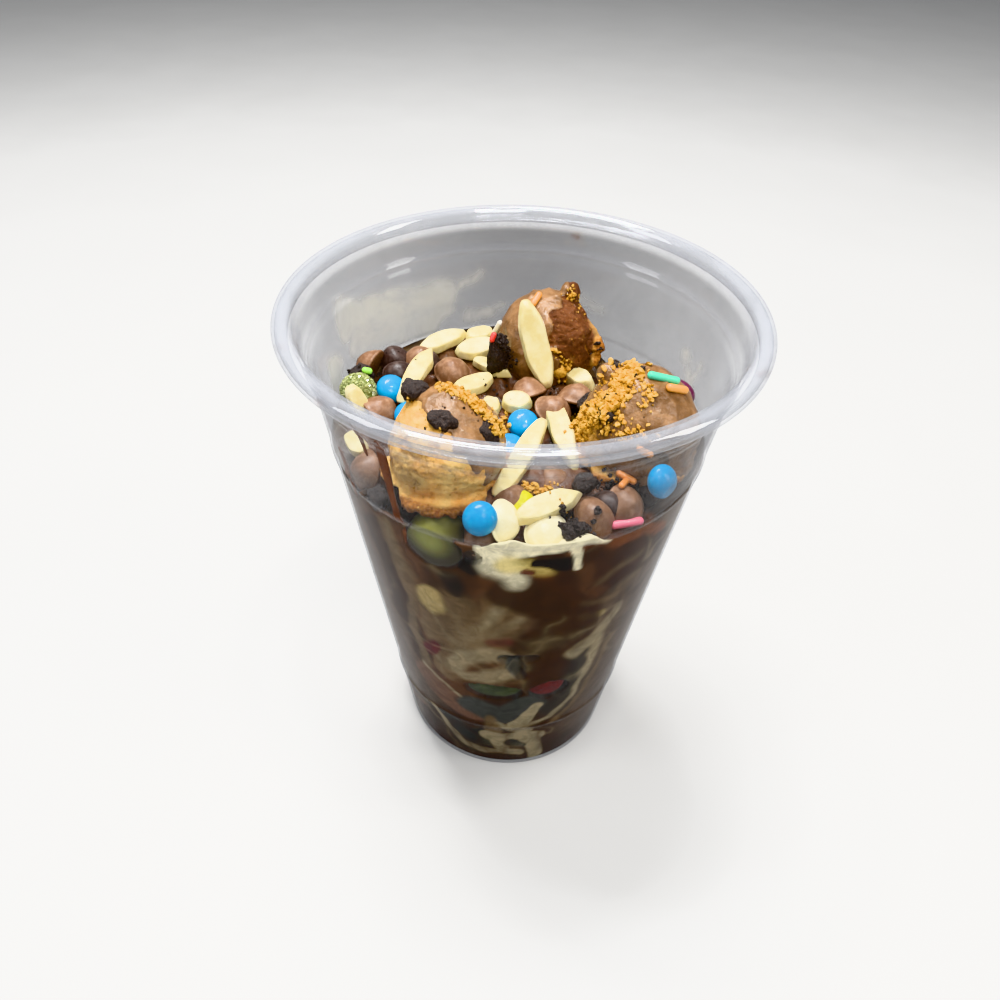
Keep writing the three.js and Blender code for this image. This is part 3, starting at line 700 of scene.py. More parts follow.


# ---- the filling

# What shows through the front wall, from the deepest to the nearest: colour, line, half-widths,
# softness of the edge and strength. The two darkest grey kinds, (68, 68, 64) and (46, 46, 44), are
# painted shade: the dark of hollows behind the wall.
SMEARS = (
    ("grey_brown", ((-150, 92), (-143, 62), (-138, 30)), (17, 9), 7, 1),
    ("grey_brown", ((-34, 84), (-38, 55), (-38, 20)), (8, 9), 6, 1),
    ("brown", ((-126, 84), (-120, 60), (-116, 40)), (10, 6), 6, 1),
    ("brown", ((-108, 84), (-104, 70), (-100, 50)), (10, 8), 6, 0.9),
    ("brown", ((-96, 80), (-84, 72), (-72, 66)), (7, 7), 4, 0.8),
    ("grey_brown", ((-82, 66), (-74, 64), (-60, 60)), (6, 5), 5, 0.7),
    ("grey_brown", ((-60, 68), (-56, 50), (-54, 30)), (6, 5), 5, 0.8),
    ("dark", ((-136, 84), (-132, 62), (-128, 44)), (3.4, 2.6), 2, 0.9),
    ("dark", ((-108, 86), (-112, 70), (-110, 56)), (4.5, 3), 3, 0.8),
    ("veil", ((-106, 70), (-98, 66), (-92, 75)), (4, 2.6), 5, 0.8),
    ("low_cream", ((-103, 61), (-96, 70), (-90, 77)), (0.9, 0.5), 2.4, 0.6),
    ("low_cream", ((-100, 59), (-92, 66), (-86, 70)), (0.7, 0.5), 2.4, 0.5),
    ("veil", ((-112, 60), (-100, 62), (-90, 66)), (4, 2), 4, 0.6),
    ("veil", ((-112, 50), (-104, 56), (-92, 60)), (2, 1.4), 3, 0.6),
    ("low_cream", ((-112, 46), (-103, 52), (-95, 55.5), (-89, 55)), (1.8, 2.4), 2, 0.72),
    ("low_cream", ((-106, 44), (-97, 44.5), (-89, 48)), (1.4, 2), 1.6, 0.7),
    ("veil", ((-128, 90), (-129, 76), (-125, 66), (-129, 54), (-125, 40)), (0.7, 1), 1.4, 0.9),
    ("veil", ((-131, 87), (-124, 74), (-120, 62), (-118, 50), (-112, 42)), (1, 1), 2.4, 0.7),
    ("veil", ((-122, 60), (-118, 50), (-120, 44), (-114, 40)), (0.8, 0.8), 1.0, 0.8),
    ("pink_brown", ((-127, 36), (-119, 31), (-110, 28), (-103, 27)), (3.4, 4), 1.4, 0.9),
    ("low_cream", ((-127, 41), (-118, 36), (-108, 32), (-100, 31)), (0.3, 0.4), 0.7, 0.7),
    ("almond_bit", ((-117, 72), (-116, 68)), (1.9, 2.1), 1.4, 0.8),
    ("almond_bit", ((-65, 66.6), (-59, 66.3)), (1.2, 1), 0.8, 0.7),
    ("wine", ((-123, 50), (-119, 53)), (1.8, 1.6), 0.9, 1),
    ("wine", ((-95, 61), (-88, 62)), (0.9, 0.8), 1.4, 0.6),
    ("deep_slate", ((-90, 54), (-85, 54.5), (-80, 54)), (1.4, 1.8), 0.5, 1),
    ("slate", ((-86, 51), (-84, 47)), (2.2, 0.5), 0.5, 1),
    ("lobe", ((-76, 57), (-73, 48), (-71, 39)), (5, 6), 0.8, 1),
    ("deep_slate", ((-62, 52), (-60, 40), (-64, 30)), (2, 3), 3, 0.7),
    ("caramel", ((-87, 84.4), (-80, 84), (-74, 81), (-68, 76)), (2.6, 2.4), 1.4, 0.9),
    ("dark", ((-88, 79), (-78, 76.5), (-70, 73), (-68, 62), (-76, 60)), (5, 6), 2, 0.95),
    ("caramel", ((-71, 90.5), (-60, 91.3), (-50, 90), (-41, 87)), (2.4, 1.8), 0.8, 1),
    ("lobe", ((-67, 83.6), (-60, 81.4), (-50, 82.4), (-43, 80.4)), (6.6, 5.6), 1.6, 1),
    ("brown", ((-69, 86), (-66, 80), (-62, 76)), (1, 1.4), 1.4, 0.7),
    ("veil", ((-61, 80), (-56, 81.5), (-49, 83)), (0.4, 0.6), 2, 0.45),
    ("veil", ((-66, 73), (-56, 71), (-46, 74)), (0.4, 0.6), 1.6, 0.45),
    ("low_cream", ((-64, 53), (-58, 55.5), (-54, 60), (-51, 66)), (2.2, 0.8), 1.4, 0.75),
    ("low_cream", ((-56, 55), (-54, 48), (-57, 43)), (1.5, 0.7), 1.4, 0.7),
    ("low_cream", ((-76, 22.5), (-66, 25), (-58, 32), (-55, 41), (-55, 50)), (0.4, 0.6), 0.9, 0.8),
    ("veil", ((-66, 21), (-56, 27), (-49, 38), (-47, 52)), (0.5, 0.5), 1.0, 0.7),
    ("slate", ((-103, 31), (-92, 27.5), (-79, 32)), (4, 4.4), 1.4, 1),
    ("deep_slate", ((-118, 16), (-108, 10), (-98, 14)), (3.8, 4.8), 0.9, 1),
    ("low_cream", ((-74, 31.5), (-77, 27.5), (-81, 23)), (1.4, 2.6), 0.5, 1),
    ("low_cream", ((-91, 23), (-85, 20.5), (-77, 19.5)), (0.8, 1.4), 0.6, 0.9),
    ("veil", ((-95, 25), (-93, 19)), (1.2, 2), 1.2, 0.9),
    ("low_cream", ((-97, 15.5), (-88, 14.5), (-80, 16), (-73, 15)), (2.2, 2.6), 0.7, 1),
    ("low_cream", ((-91, 12), (-90, 7)), (2.2, 1.2), 0.6, 1),
    ("low_cream", ((-75, 14), (-72, 3)), (2.4, 1.8), 0.6, 1),
    ("low_cream", ((-101, 7), (-90, 7), (-82, 6)), (0.8, 1.2), 0.6, 1),
    ("deep_slate", ((-84, 11.5), (-80, 10.5)), (1.9, 1.4), 0.5, 1),
    ("low_cream", ((-127, 20), (-120, 12), (-112, 8), (-101, 7)), (0.7, 1.1), 0.8, 0.9),
    ("cookie", ((-103, 86.5), (-98, 88)), (1.8, 1.8), 0.6, 1),
    ("cookie", ((-108, 80.5), (-108.5, 76)), (1.8, 1.2), 1.4, 0.8),
    ("cream", ((-96, 91.6), (-88, 92.8), (-80, 93.4), (-72, 93.6), (-65, 92.6)), (3, 1.6), 0.5, 1),
    ("cream", ((-94, 88), (-90, 86), (-87, 83)), (2.8, 1.4), 2.4, 0.8),
    ("yellow_cream", ((-91, 88.4), (-85, 87.4), (-80, 86)), (1.5, 1.2), 1.8, 0.7),
    ("cream", ((-73.5, 92), (-71, 87)), (0.9, 0.5), 0.4, 0.9),
    ("cookie", ((-82, 88), (-75, 87.8)), (1.2, 1.6), 0.5, 1),
    ("wine", ((-85, 85.6), (-83, 85)), (0.8, 0.6), 0.5, 0.9),
)
WINDOWS = (((-90, 53.5), (-80, 54)), ((-86, 51), (-84, 46)))  # hollows where nothing touches the wall
BACK_SMEAR_COUNT = 64
BACK_KINDS = (
    "brown", "veil", "grey_brown", "low_cream", "dark", "lobe", "veil", "grey_brown", "brown", "low_cream",
    "caramel",
)
PRESSED = ("grape", "fruit_green", "fruit_red", "milk_drop_07", "milk_drop_10", "cookie_10")
CONTACT = 1.5  # one of these pieces shows through the wall where it is this near
CREAM_RISE = ((-97, -66), 2.4)  # the angles between which cream is heaped at the wall, and how high
HOLLOW = ((24, 27), 8.5, 6)  # a dip in the heap behind the right waffle: place, width and depth
HEAP_REACH, HEAP_ABOVE = 38.2, 118  # the solid heap is read out to this radius, from this height
FILL_LEVEL, LOWEST_TOP, FILL_LOW = 92, 84, 1.3
FILL_FOOT = ((0, 5.45), (FLOOR_RADIUS, 5.45), (24.8, 4.3), (25.2, 1.2), (25.9, 0.75))
HEAP_DARK, HEAP_PALE = (52, 34, 25), (104, 70, 50)


def back_smears(draw):
    """Swirls of the same kinds over the part of the wall that the photograph doesn't show."""
    made = []
    for k in range(BACK_SMEAR_COUNT):
        kind = BACK_KINDS[k % len(BACK_KINDS)]
        line = [np.array([draw.uniform(-30, 210), draw.uniform(6, 88)])]
        heading = draw.uniform(-2.2, 2.2)
        turning = draw.uniform(-0.5, 0.5)
        for _ in range(5):
            heading += turning + draw.uniform(-0.3, 0.3)
            line.append(line[-1] + np.array([7 * math.cos(heading), 5 * math.sin(heading)]))
        thin = kind == "low_cream" or draw.random() < 0.4
        width = (0.9, 0.3) if thin else (draw.uniform(2, 5), draw.uniform(0.5, 3))
        made.append((kind, line, width, draw.uniform(0.8, 3.5), draw.uniform(0.5, 0.9)))
    return made


def node_tree(node):
    """A CAD node's surface in millimetres, to cast rays onto."""
    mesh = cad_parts[node].data
    return BVHTree.FromPolygons([v.co / MM for v in mesh.vertices], [p.vertices[:] for p in mesh.polygons])


def heap_heights(angles, shares):
    """Heights of the solid heap over a polar grid, read down onto the node."""
    tree = node_tree("filling")
    heights = np.empty((len(shares), len(angles)))
    for i, share in enumerate(shares):
        for j, a in enumerate(angles):
            r = share * HEAP_REACH
            start = Vector((r * math.cos(a), r * math.sin(a), HEAP_ABOVE))
            hit = tree.ray_cast(start, Vector((0, 0, -1)))[0]
            heights[i, j] = hit.z if hit else FILL_LEVEL
    return heights


def heap_tops(angles, shares):
    """The heap's heights, with the dip behind the right waffle and the cream's rise at the wall."""
    tops = np.maximum(heap_heights(angles, shares), LOWEST_TOP)
    for _ in range(2):
        tops = (tops + np.roll(tops, 1, 1) + np.roll(tops, -1, 1)) / 3
    (dip_x, dip_y), dip_width, dip_depth = HOLLOW
    r = shares[:, None] * 38
    across = np.hypot(r * np.cos(angles) - dip_x, r * np.sin(angles) - dip_y)
    tops -= dip_depth * np.exp(-((across / dip_width) ** 2))
    (first, last), rise = CREAM_RISE
    degrees = np.degrees(angles)
    window = smoothstep(first - 3, first + 3, degrees) * smoothstep(last + 3, last - 3, degrees)
    return tops + rise * window * smoothstep(0.86, 0.97, shares)[:, None]


def filling_rows(angles):
    """Rings of (radius, height) from the foot up the wall and in over the heap, and how many of
    them lie on the foot and the wall."""
    shares = np.linspace(1, 0, 64) ** 0.8
    tops = heap_tops(angles, shares)
    around = np.ones(len(angles))
    rows = [np.stack([r * around, z * around], -1) for r, z in FILL_FOOT]
    for share in np.linspace(0, 1, 186):
        z = FILL_LOW + share * (tops[0] - FILL_LOW)
        rows.append(np.stack([inner_radius(z) + FILL_SINK, z], -1))
    side_rows = len(rows)
    for share, top in zip(shares[1:], tops[1:]):
        rows.append(np.stack([share * (inner_radius(top) - 0.1), top], -1))
    return np.array(rows), side_rows


def tinted(colours, kind, share):
    share = share[:, None]
    return colours * (1 - share) + linear(PALETTE[kind]) * share


def wall_colours(points, angle):
    """Smears over the dark sauce, then thin veins and shadows that run through all of it."""
    warp_a = waves(points, (1.6, 11, 1), (0.7, 3.4, 2))
    warp_z = waves(points, (1.8, 10, 5), (0.7, 3.1, 6))
    colours = np.tile(linear(PALETTE["dark"]), (len(points), 1))
    seen = angle + np.degrees(warp_a / 36)
    unseen = np.where(seen < -90, seen + 360, seen) + 5 * noise(points, 8, 61)
    swirls = [(unseen, *smear) for smear in back_smears(np.random.default_rng(23))]
    for around, kind, line, width, soft, strength in (*swirls, *((seen, *smear) for smear in SMEARS)):
        inside = near_line(around, points[:, 2] + warp_z, line, width)
        colours = tinted(colours, kind, smoothstep(-soft, soft * 0.3, inside) * strength)
    drift = [waves(points, (3.5, 12, 40 + k), (1.2, 4, 50 + k)) for k in range(3)]
    flow = points + np.stack(drift, -1)
    vein = (1 - np.abs(noise(flow, 7, 31))) ** 9 * smoothstep(-0.3, 0.5, noise(points, 16, 33))
    shadow = (1 - np.abs(noise(flow, 9, 35))) ** 6 * smoothstep(-0.2, 0.5, noise(points, 14, 36))
    return tinted(tinted(colours, "low_cream", 0.34 * vein), "lobe", 0.6 * shadow)


def pressed_pieces(points, tree):
    """How far inside the wall the skin of the filling lies where a piece touches the wall."""
    inward = np.zeros(len(points))
    for k, (x, y, z) in enumerate(points):
        r = math.hypot(x, y)
        way = Vector((-x / r, -y / r, 0))
        start = Vector((x, y, z)) - 0.4 * way
        place = tree.ray_cast(start, way, 0.4 + CONTACT)[0]
        if place is not None:
            inward[k] = (place - start).length + 0.9
    return inward


def filling(tree):
    """The sauce and cream, given the pieces that touch the wall."""
    front = np.linspace(-np.pi, 0, FRONT_STEPS, endpoint=False)
    angles = np.concatenate([front, np.linspace(0, np.pi, BACK_STEPS, endpoint=False)])
    rows, side_rows = filling_rows(angles)
    points = lathe_rows(rows, angles)
    faces = grid_faces(len(rows), len(angles))
    angle = np.tile(np.degrees(angles), len(rows))
    top = np.repeat(np.arange(len(rows)) >= side_rows, len(angles)).astype(float)
    colours = wall_colours(points, angle)

    heap = (0.5 + 0.5 * np.clip(layered(points, 6, 8) * 1.6, -1, 1))[:, None]
    heap_colour = linear(HEAP_DARK) * (1 - heap) + linear(HEAP_PALE) * heap
    inner_top = top * (1 - smoothstep(33, 37.5, np.hypot(points[:, 0], points[:, 1])))
    colours = colours * (1 - inner_top[:, None]) + heap_colour * inner_top[:, None]

    height = points[:, 2]
    hollow = np.full(len(points), -9.0)
    for line in WINDOWS:
        hollow = np.maximum(hollow, near_line(angle, height, line, (1.6, 0.9)))
    inward = 2.2 * smoothstep(-0.6, 0.8, hollow) * (1 - top)
    wall = np.flatnonzero((top == 0) & (height > 8))
    inward[wall] = np.maximum(inward[wall], pressed_pieces(points[wall], tree))
    r_now = np.maximum(np.hypot(points[:, 0], points[:, 1]), 1e-6)
    points[:, :2] *= (1 - inward / r_now)[:, None]
    points[:, 2] += inner_top * (0.7 * layered(points, 3.2, 4) + 0.4)
    skin = MATERIALS["filling"]
    add_piece("sauce_and_cream", points, faces, skin, "chocolate_filling", ["filling"], colours, top=top)
    return points, faces


# ---- the pieces, as the solids lie


def numbered(kind, rows):
    """Rows of a table under the names of their nodes."""
    return {f"{kind}_{k:02}": row for k, row in enumerate(rows, 1)}


# Each row: middle, (heading, dip, roll), and sizes where they differ from piece to piece.
WAFFLES = {
    "waffle_1": ((5.6, 20.6, 99.8), (-146, 62, 0), (22.6, 22, 21.4, 11, -3.4, 1.3)),
    "waffle_2": ((-13.8, -21.2, 100.8), (0, 0, 0), (21.6, 21.6, 22.4, 11.8, -5, 0.4)),
    "waffle_3": ((23.2, -11.2, 99.8), (-25, 0, 0), (23.6, 21, 24.6, 11.6, -4.5, 2.6)),
}
ALMONDS = numbered("almond", (
    ((3.1, 9.6, 105.4), (-48, 62, 30), (19, 6.2, 1.8, 0.6)),
    ((-18.3, 22.2, 98.2), (216, 5, -15), (13, 4.6, 2, 1)),
    ((-10.4, 19.8, 98.2), (197, 4, -20), (10.4, 5, 2.2, 0.3)),
    ((-22, 4.8, 100.6), (-107, 6, -12), (20, 4.6, 2, 1)),
    ((-6.6, 13.2, 97.6), (143, 4, -15), (11.6, 3.8, 2, 1)),
    ((-9.8, 5.6, 97.9), (42, 4, 15), (10.2, 4.6, 2, 0)),
    ((-33.2, -3.9, 98.4), (-20, 62, 40), (7, 3.6, 1.8, 0.2)),
    ((-0.5, -0.4, 98), (-5, -5, 20), (6.6, 4.6, 2.2, 0.4)),
    ((-5.9, -1.4, 96.8), (-103, 10, 0), (5.6, 4, 2, 0)),
    ((8.8, -9, 97.2), (-76, 8, 8), (22, 5, 2, 0)),
    ((1.1, -17.6, 97.3), (65, -14, 15), (21.4, 5.2, 2, 0.2)),
    ((13, 11.2, 96.8), (-34, 0, 20), (7.2, 4.4, 3, 0.3)),
    ((6.1, -30.4, 96), (206, 9, -20), (14.6, 4.8, 2, 1)),
    ((-31.6, -16, 96.8), (-51, 18, 20), (6.6, 3.8, 2, 0)),
    ((-9.9, 25.6, 98.3), (20, 0, 15), (7.4, 4.4, 2.2, 0)),
))
DROP_SIZES = {"milk": (4.2, 4), "dark": (3.7, 3.8), "white": (4, 3.2)}  # radius, height
MILK_DROPS = (
    ((-15, 11.8, 97.2), (-70, 18, 0)),
    ((-28, -3, 96.4), (20, 42, 0)),
    ((1.6, 6, 97.2), (125, 32, 0)),
    ((12.6, 4.8, 97), (70, 25, 0)),
    ((7.6, 2.6, 94.6), (20, 50, 0)),
    ((-34.2, 12.4, 97.2), (160, 72, 0)),
    ((-30, -20.6, 93.8), (214, 66, 0)),
    ((15.4, -30, 93.8), (-60, 30, 0)),
    ((21.4, -27, 94), (-52, 40, 0)),
    ((-6.6, -34.6, 89.6), (-100, 70, 0)),
)
DARK_DROPS = (
    ((-26.4, 9, 97.8), (-60, 24, 0)),
    ((-28.8, 16, 97.2), (-110, 16, 0)),
    ((-21.6, 16.2, 96.6), (-80, 14, 0)),
    ((26.2, -20.6, 93.2), (-40, 50, 0)),
)
WHITE_DROPS = (((-0.9, -33.2, 94.2), (-28, 60, 0)), ((6.2, -34.6, 93.2), (-85, 35, 0)))
DROPS = {
    **numbered("milk_drop", MILK_DROPS), **numbered("dark_drop", DARK_DROPS),
    **numbered("white_drop", WHITE_DROPS),
}
CANDY_WIDTH, CANDY_THICKNESS = 6.4, 4.2
CANDIES = {
    "candy_blue_1": ((-6, -35, 96.2), (-92, 45, 0)),
    "candy_blue_2": ((27, -26, 99.4), (-46, 62, 0)),
    "candy_blue_3": ((-27.4, 2.8, 97.4), (-60, 30, 0)),
    "candy_blue_4": ((-22.6, -4.8, 96), (-60, 35, 0)),
    "candy_blue_5": ((1, -5.8, 96.2), (-90, 25, 0)),
    "candy_blue_6": ((-1.6, -12.4, 95), (-90, 10, 0)),
    "candy_purple": ((32.4, -2.8, 103.6), (45, 60, 0)),
    "candy_yellow": ((1, -27.4, 93), (-90, 20, 0)),
}
COOKIES = (
    ((-19, -18.4, 111.8), (20, 0, 0), (5.8, 4.6, 4.2, 0.6)),
    ((-13.4, -26, 111), (10, 30, 0), (5.4, 4.2, 3.2, 1.7)),
    ((-5.6, -24.2, 107.6), (-20, 45, 0), (5, 4, 3.2, 2.9)),
    ((-34.4, 6.6, 98.2), (60, 0, 0), (6, 4.6, 4.2, 4.1)),
    ((-5.2, 12, 101.4), (70, 0, 0), (4.8, 4.6, 9.4, 5.3)),
    ((14.8, -1.4, 99.4), (42, -8, 0), (7, 3.6, 3.2, 0.2)),
    ((16.6, -16.8, 107), (-30, -40, 0), (3.8, 3.4, 3, 1.1)),
    ((13, -24.8, 97), (10, 0, 0), (4.4, 3.8, 3.6, 2.2)),
    ((11, -34.2, 93.4), (24, 0, 0), (5.4, 3.4, 3.4, 3.3)),
    ((-25.6, -26.4, 92.6), (-46, 0, 0), (5, 3.6, 4, 4.8)),
)
NUTS = (((8.4, 11.6, 98.6), (60, 0, 0), (3.6, 3.4, 4.4, 1.9)),)
CHUNKS = {**numbered("cookie", COOKIES), **numbered("nut", NUTS)}
BALLS = {
    "sugar_ball": ((-34.2, 1.2, 97.4), (0, 0, 0), (7.4, 7.4, 7.4)),
    "grape": ((-13.9, -32.8, 88.6), (-113, 0, 0), (11.4, 12, 11.6)),
    "fruit_green": ((-2.4, -29, 38.6), (-94, 0, 0), (5.4, 13, 7)),
    "fruit_red": ((9.2, -27.6, 38.8), (-72, 0, 0), (5.4, 9.4, 8)),
}
BALL_LOOKS = {
    "sugar_ball": ("grape", "sugar_crust"), "grape": ("grape", "green_fruit"),
    "fruit_green": ("green_fruit", "green_fruit"), "fruit_red": ("red_fruit", "red_fruit"),
}


# A drop's foot and its thin lip, as shares of the radius and the height.
DROP_FOOT = ((0, 0), (0.5, 0), (0.9, 0), (0.97, 0.02), (1, 0.06), (1, 0.12), (0.985, 0.155), (0.96, 0.165))


def drop_form(size, seed):
    """A chocolate drop: flat foot with a thin lip, and a low dome with a small peak."""
    radius, height = size
    low, high = -0.45 * height, 0.55 * height
    lip = low + 0.17 * height
    t = np.linspace(1, 0, 18)
    dome = np.stack([0.95 * radius * t, lip + (high - lip) * (1 - t**2.1) ** 0.78], -1)
    dome[:, 1] += 0.05 * height * np.exp(-((dome[:, 0] / (0.16 * radius)) ** 2))
    foot = np.array(DROP_FOOT) * (radius, height) + (0, low)
    points, faces = turned_solid(np.concatenate([foot, dome]), 40)
    around = np.arctan2(points[:, 1], points[:, 0])
    points[:, :2] *= (1 + 0.045 * np.sin(2 * around + seed) + 0.03 * np.sin(3 * around + 2 * seed))[:, None]
    dents = 0.22 * noise(points + 9 * seed, 2.6) + 0.05 * noise(points, 0.8, 3)
    points[:, 2] += dents * (points[:, 2] > lip)
    return points, faces


def candy_form():
    """A sugar-shelled lens."""
    a = np.radians(np.linspace(-90, 90, 26))
    profile = np.stack([CANDY_WIDTH / 2 * np.abs(np.cos(a)) ** 0.85, CANDY_THICKNESS / 2 * np.sin(a)], -1)
    profile[[0, -1], 0] = 0
    return turned_solid(profile, 48)


def almond_outline(length, width, taper, seed):
    """The sliver's cut edge: its -X end is pointed when taper is 1 and blunt when it is 0."""
    tip = (1 - taper) * 0.6
    outline = np.array([
        (-1, -tip - 0.05), (-0.55, -0.92), (0.35, -1), (0.98, -0.32),
        (0.94, 0.44), (0.35, 1), (-0.5, 0.92), (-0.98, tip + 0.05),
    ])
    outline += 0.06 * np.sin(5.1 * seed + 2.7 * np.arange(16).reshape(8, 2))
    for _ in range(3):
        after = np.roll(outline, -1, 0)
        outline = np.stack([0.84 * outline + 0.16 * after, 0.16 * outline + 0.84 * after], 1).reshape(-1, 2)
    return outline * (length / 2, width / 2)


# Rings of a sliver from the middle of its top to the middle of its foot: share of the outline, height.
ALMOND_RINGS = (
    (0, 1), (0.4, 1), (0.7, 1), (0.8, 0.99), (0.84, 0.92), (0.9, 0.4), (0.97, -0.5), (1, -0.86),
    (0.99, -0.95), (0.93, -1), (0.5, -1), (0, -1),
)


def almond_form(size, seed):
    """A cut sliver: flat faces, soft edges, slightly bowed and uneven."""
    length, width, thickness, taper = size
    outline = almond_outline(length, width, taper, seed)
    rows = [np.column_stack([outline * s, np.full(len(outline), thickness / 2 * z)]) for s, z in ALMOND_RINGS]
    points = np.concatenate(rows)
    along = 2 * points[:, 0] / length
    points[:, 2] += 0.028 * length * (along**2 - 0.4) * math.copysign(1, math.sin(seed * 2.4))
    shift = points + 13 * seed
    points[:, 1] += 0.3 * noise(shift, 3.2) * (1 - np.abs(along) ** 3)
    points[:, 2] += waves(shift, (0.2, 4, 2), (0.05, 0.9, 3))
    return points, grid_faces(len(ALMOND_RINGS), len(outline))


def chunk_form(size, level, rough):
    """A broken chunk with a crumbly surface."""
    points, faces = icosphere(level)
    phase = size[3]
    points *= (1 + 0.16 * lumps(points, 2.7, phase))[:, None]
    points *= np.array(size[:3]) / 2
    way = points / np.linalg.norm(points, axis=1, keepdims=True)
    shift = points + 7 * phase
    points += way * (rough * (0.55 * layered(shift, 1.5, 1) + 0.25 * np.abs(noise(shift, 0.6, 5))))[:, None]
    return points, faces


def ball_form(size):
    """A round fruit or sugar ball, a little uneven."""
    points, faces = icosphere(5)
    points = points * np.array(size) / 2
    return points * (1 + 0.03 * noise(points, 3, 2))[:, None], faces


WEB_THICKNESS = 2.5


def waffle_parts(size):
    """One bubble and its torn web, in their own frame."""
    length, width, height, web_radius, web_low, phase = size
    bubble, bubble_faces = icosphere(5)
    bubble = bubble * (1 + 0.06 * lumps(bubble, 2.3, phase))[:, None] * np.array([length, width, height]) / 2
    side = np.array([(0, 1), (0.5, 1), (0.8, 1), (0.93, 1), (1, 0.6)])
    profile = np.concatenate([side * (1, -1), [(1.02, 0)], side[::-1]]) * (1, WEB_THICKNESS / 2)
    web, web_faces = turned_solid(profile, 160)
    turn = np.arctan2(web[:, 1], web[:, 0])
    torn = 1 + 0.08 * np.sin(3 * turn + phase) + 0.05 * np.sin(6 * turn + 2 * phase)
    ragged = np.stack([np.cos(turn), np.sin(turn), web[:, 2] * 0.3 + phase], -1)
    torn = torn + 0.05 * layered(ragged * 10, 2.4, 3)
    web[:, :2] *= (web_radius * torn)[:, None]
    web[:, 2] += web_low + 0.6 * np.sin(2 * turn + phase)
    return [(bubble, bubble_faces), (web, web_faces)]


# Torn scraps that stick to a waffle: middle, (heading, dip, roll), sizes.
SCRAPS = {
    "waffle_1": (
        ((10, 24, 109.4), (60, 0, 0), (6, 4.4, 7, 2.4)),
        ((8.2, 21.6, 109), (10, 30, 0), (6, 5, 4, 0.4)),
    ),
    "waffle_2": (),
    "waffle_3": (((18.6, -8.4, 109.4), (-10, 20, 0), (7.6, 4.4, 4.2, 0.9)),),
}
# Where chocolate coats each waffle: a direction and how far round it reaches (a cosine).
GLAZED = {
    "waffle_1": ((-0.85, -0.1, 0.2), 0.12),
    "waffle_2": ((0.66, 0.1, 0.74), 0.5),
    "waffle_3": ((0.5, -0.25, 0.8), -0.05),
}
BAKED = {"waffle_1": 0.95, "waffle_2": 0.05, "waffle_3": 0.3}  # how dark the crust is


def bare_waffle(node):
    """One even skin over the bubble, its web and the scraps that stick to it."""
    at, turn, size = WAFFLES[node]
    parts = [(placed(p, at, turn), f) for p, f in waffle_parts(size)]
    for scrap_at, scrap_turn, scrap_size in SCRAPS[node]:
        points, faces = chunk_form(scrap_size, 4, 0.6)
        parts.append((placed(points, scrap_at, scrap_turn), faces))
    points, faces = remeshed(*joined(parts), 0.3)
    return smoothed(points, faces, 3), faces


def torn_share(own, size, height):
    """Where a waffle shows torn crumb: on its web's edge, below the top of the heap."""
    ball = np.linalg.norm(own / (np.array(size[:3]) / 2), axis=1)
    torn = smoothstep(1.08, 1.18, ball) * smoothstep(4.2, 2.8, np.abs(own[:, 2] - size[4]))
    return torn * smoothstep(107, 105, height)


def glaze_share(node, own, torn):
    """Where chocolate coats a waffle, with an edge that runs in drips."""
    way = own @ turned(*WAFFLES[node][1]).T
    way /= np.linalg.norm(way, axis=1, keepdims=True)
    axis, reach = GLAZED[node]
    axis = np.array(axis) / np.linalg.norm(axis)
    drips = waves(way * 10, (0.26, 3.6, 2), (0.12, 1.4, 4))
    return smoothstep(reach - 0.08, reach + 0.08, way @ axis + drips) * (1 - 0.85 * torn)


def dressed_waffle(node):
    at, turn, size = WAFFLES[node]
    baked = BAKED[node]
    points, faces = bare_waffle(node)
    own = (points - at) @ turned(*turn)
    torn = torn_share(own, size, points[:, 2])
    glaze = glaze_share(node, own, torn)
    bulges = waves(points, (0.75, 6.5, 21), (0.35, 3.2, 22))
    ridges = 0.5 * (1 - np.abs(noise(points, 4.4, 23))) ** 3
    cracks = -0.7 * smoothstep(0.07, 0.0, np.abs(noise(points, 5, 24)))
    cracks *= smoothstep(-0.1, 0.3, noise(points, 8, 25)) * baked
    pores = 0.3 * smoothstep(0.15, 0.5, noise(points, 1, 7))
    pores += 0.16 * smoothstep(0.0, 0.5, noise(points, 0.55, 9))
    crumbly = 0.6 * layered(points, 1.4, 11)
    bare = 0.25 * noise(points, 1.9, 5) + cracks - pores * (1 - torn) + crumbly * torn
    height = bulges + glaze * (0.35 + ridges) + (1 - glaze) * bare
    points = kept_inside(points + normals(points, faces) * height[:, None])
    top_bake = smoothstep(106.5, 109.5, points[:, 2]) * baked
    bake = np.clip(baked + 0.5 * layered(points, 6, 13) + top_bake, 0, 1) * (1 - torn)
    golden = np.clip(torn + 0.8 * smoothstep(0.25, 0.6, -cracks), 0, 1)
    masks = {"glaze": glaze, "crumb": golden, "bake": bake}
    add_piece(f"{node}_crust", points, faces, MATERIALS["waffle"], "waffle", [node], **masks)
    return points, faces


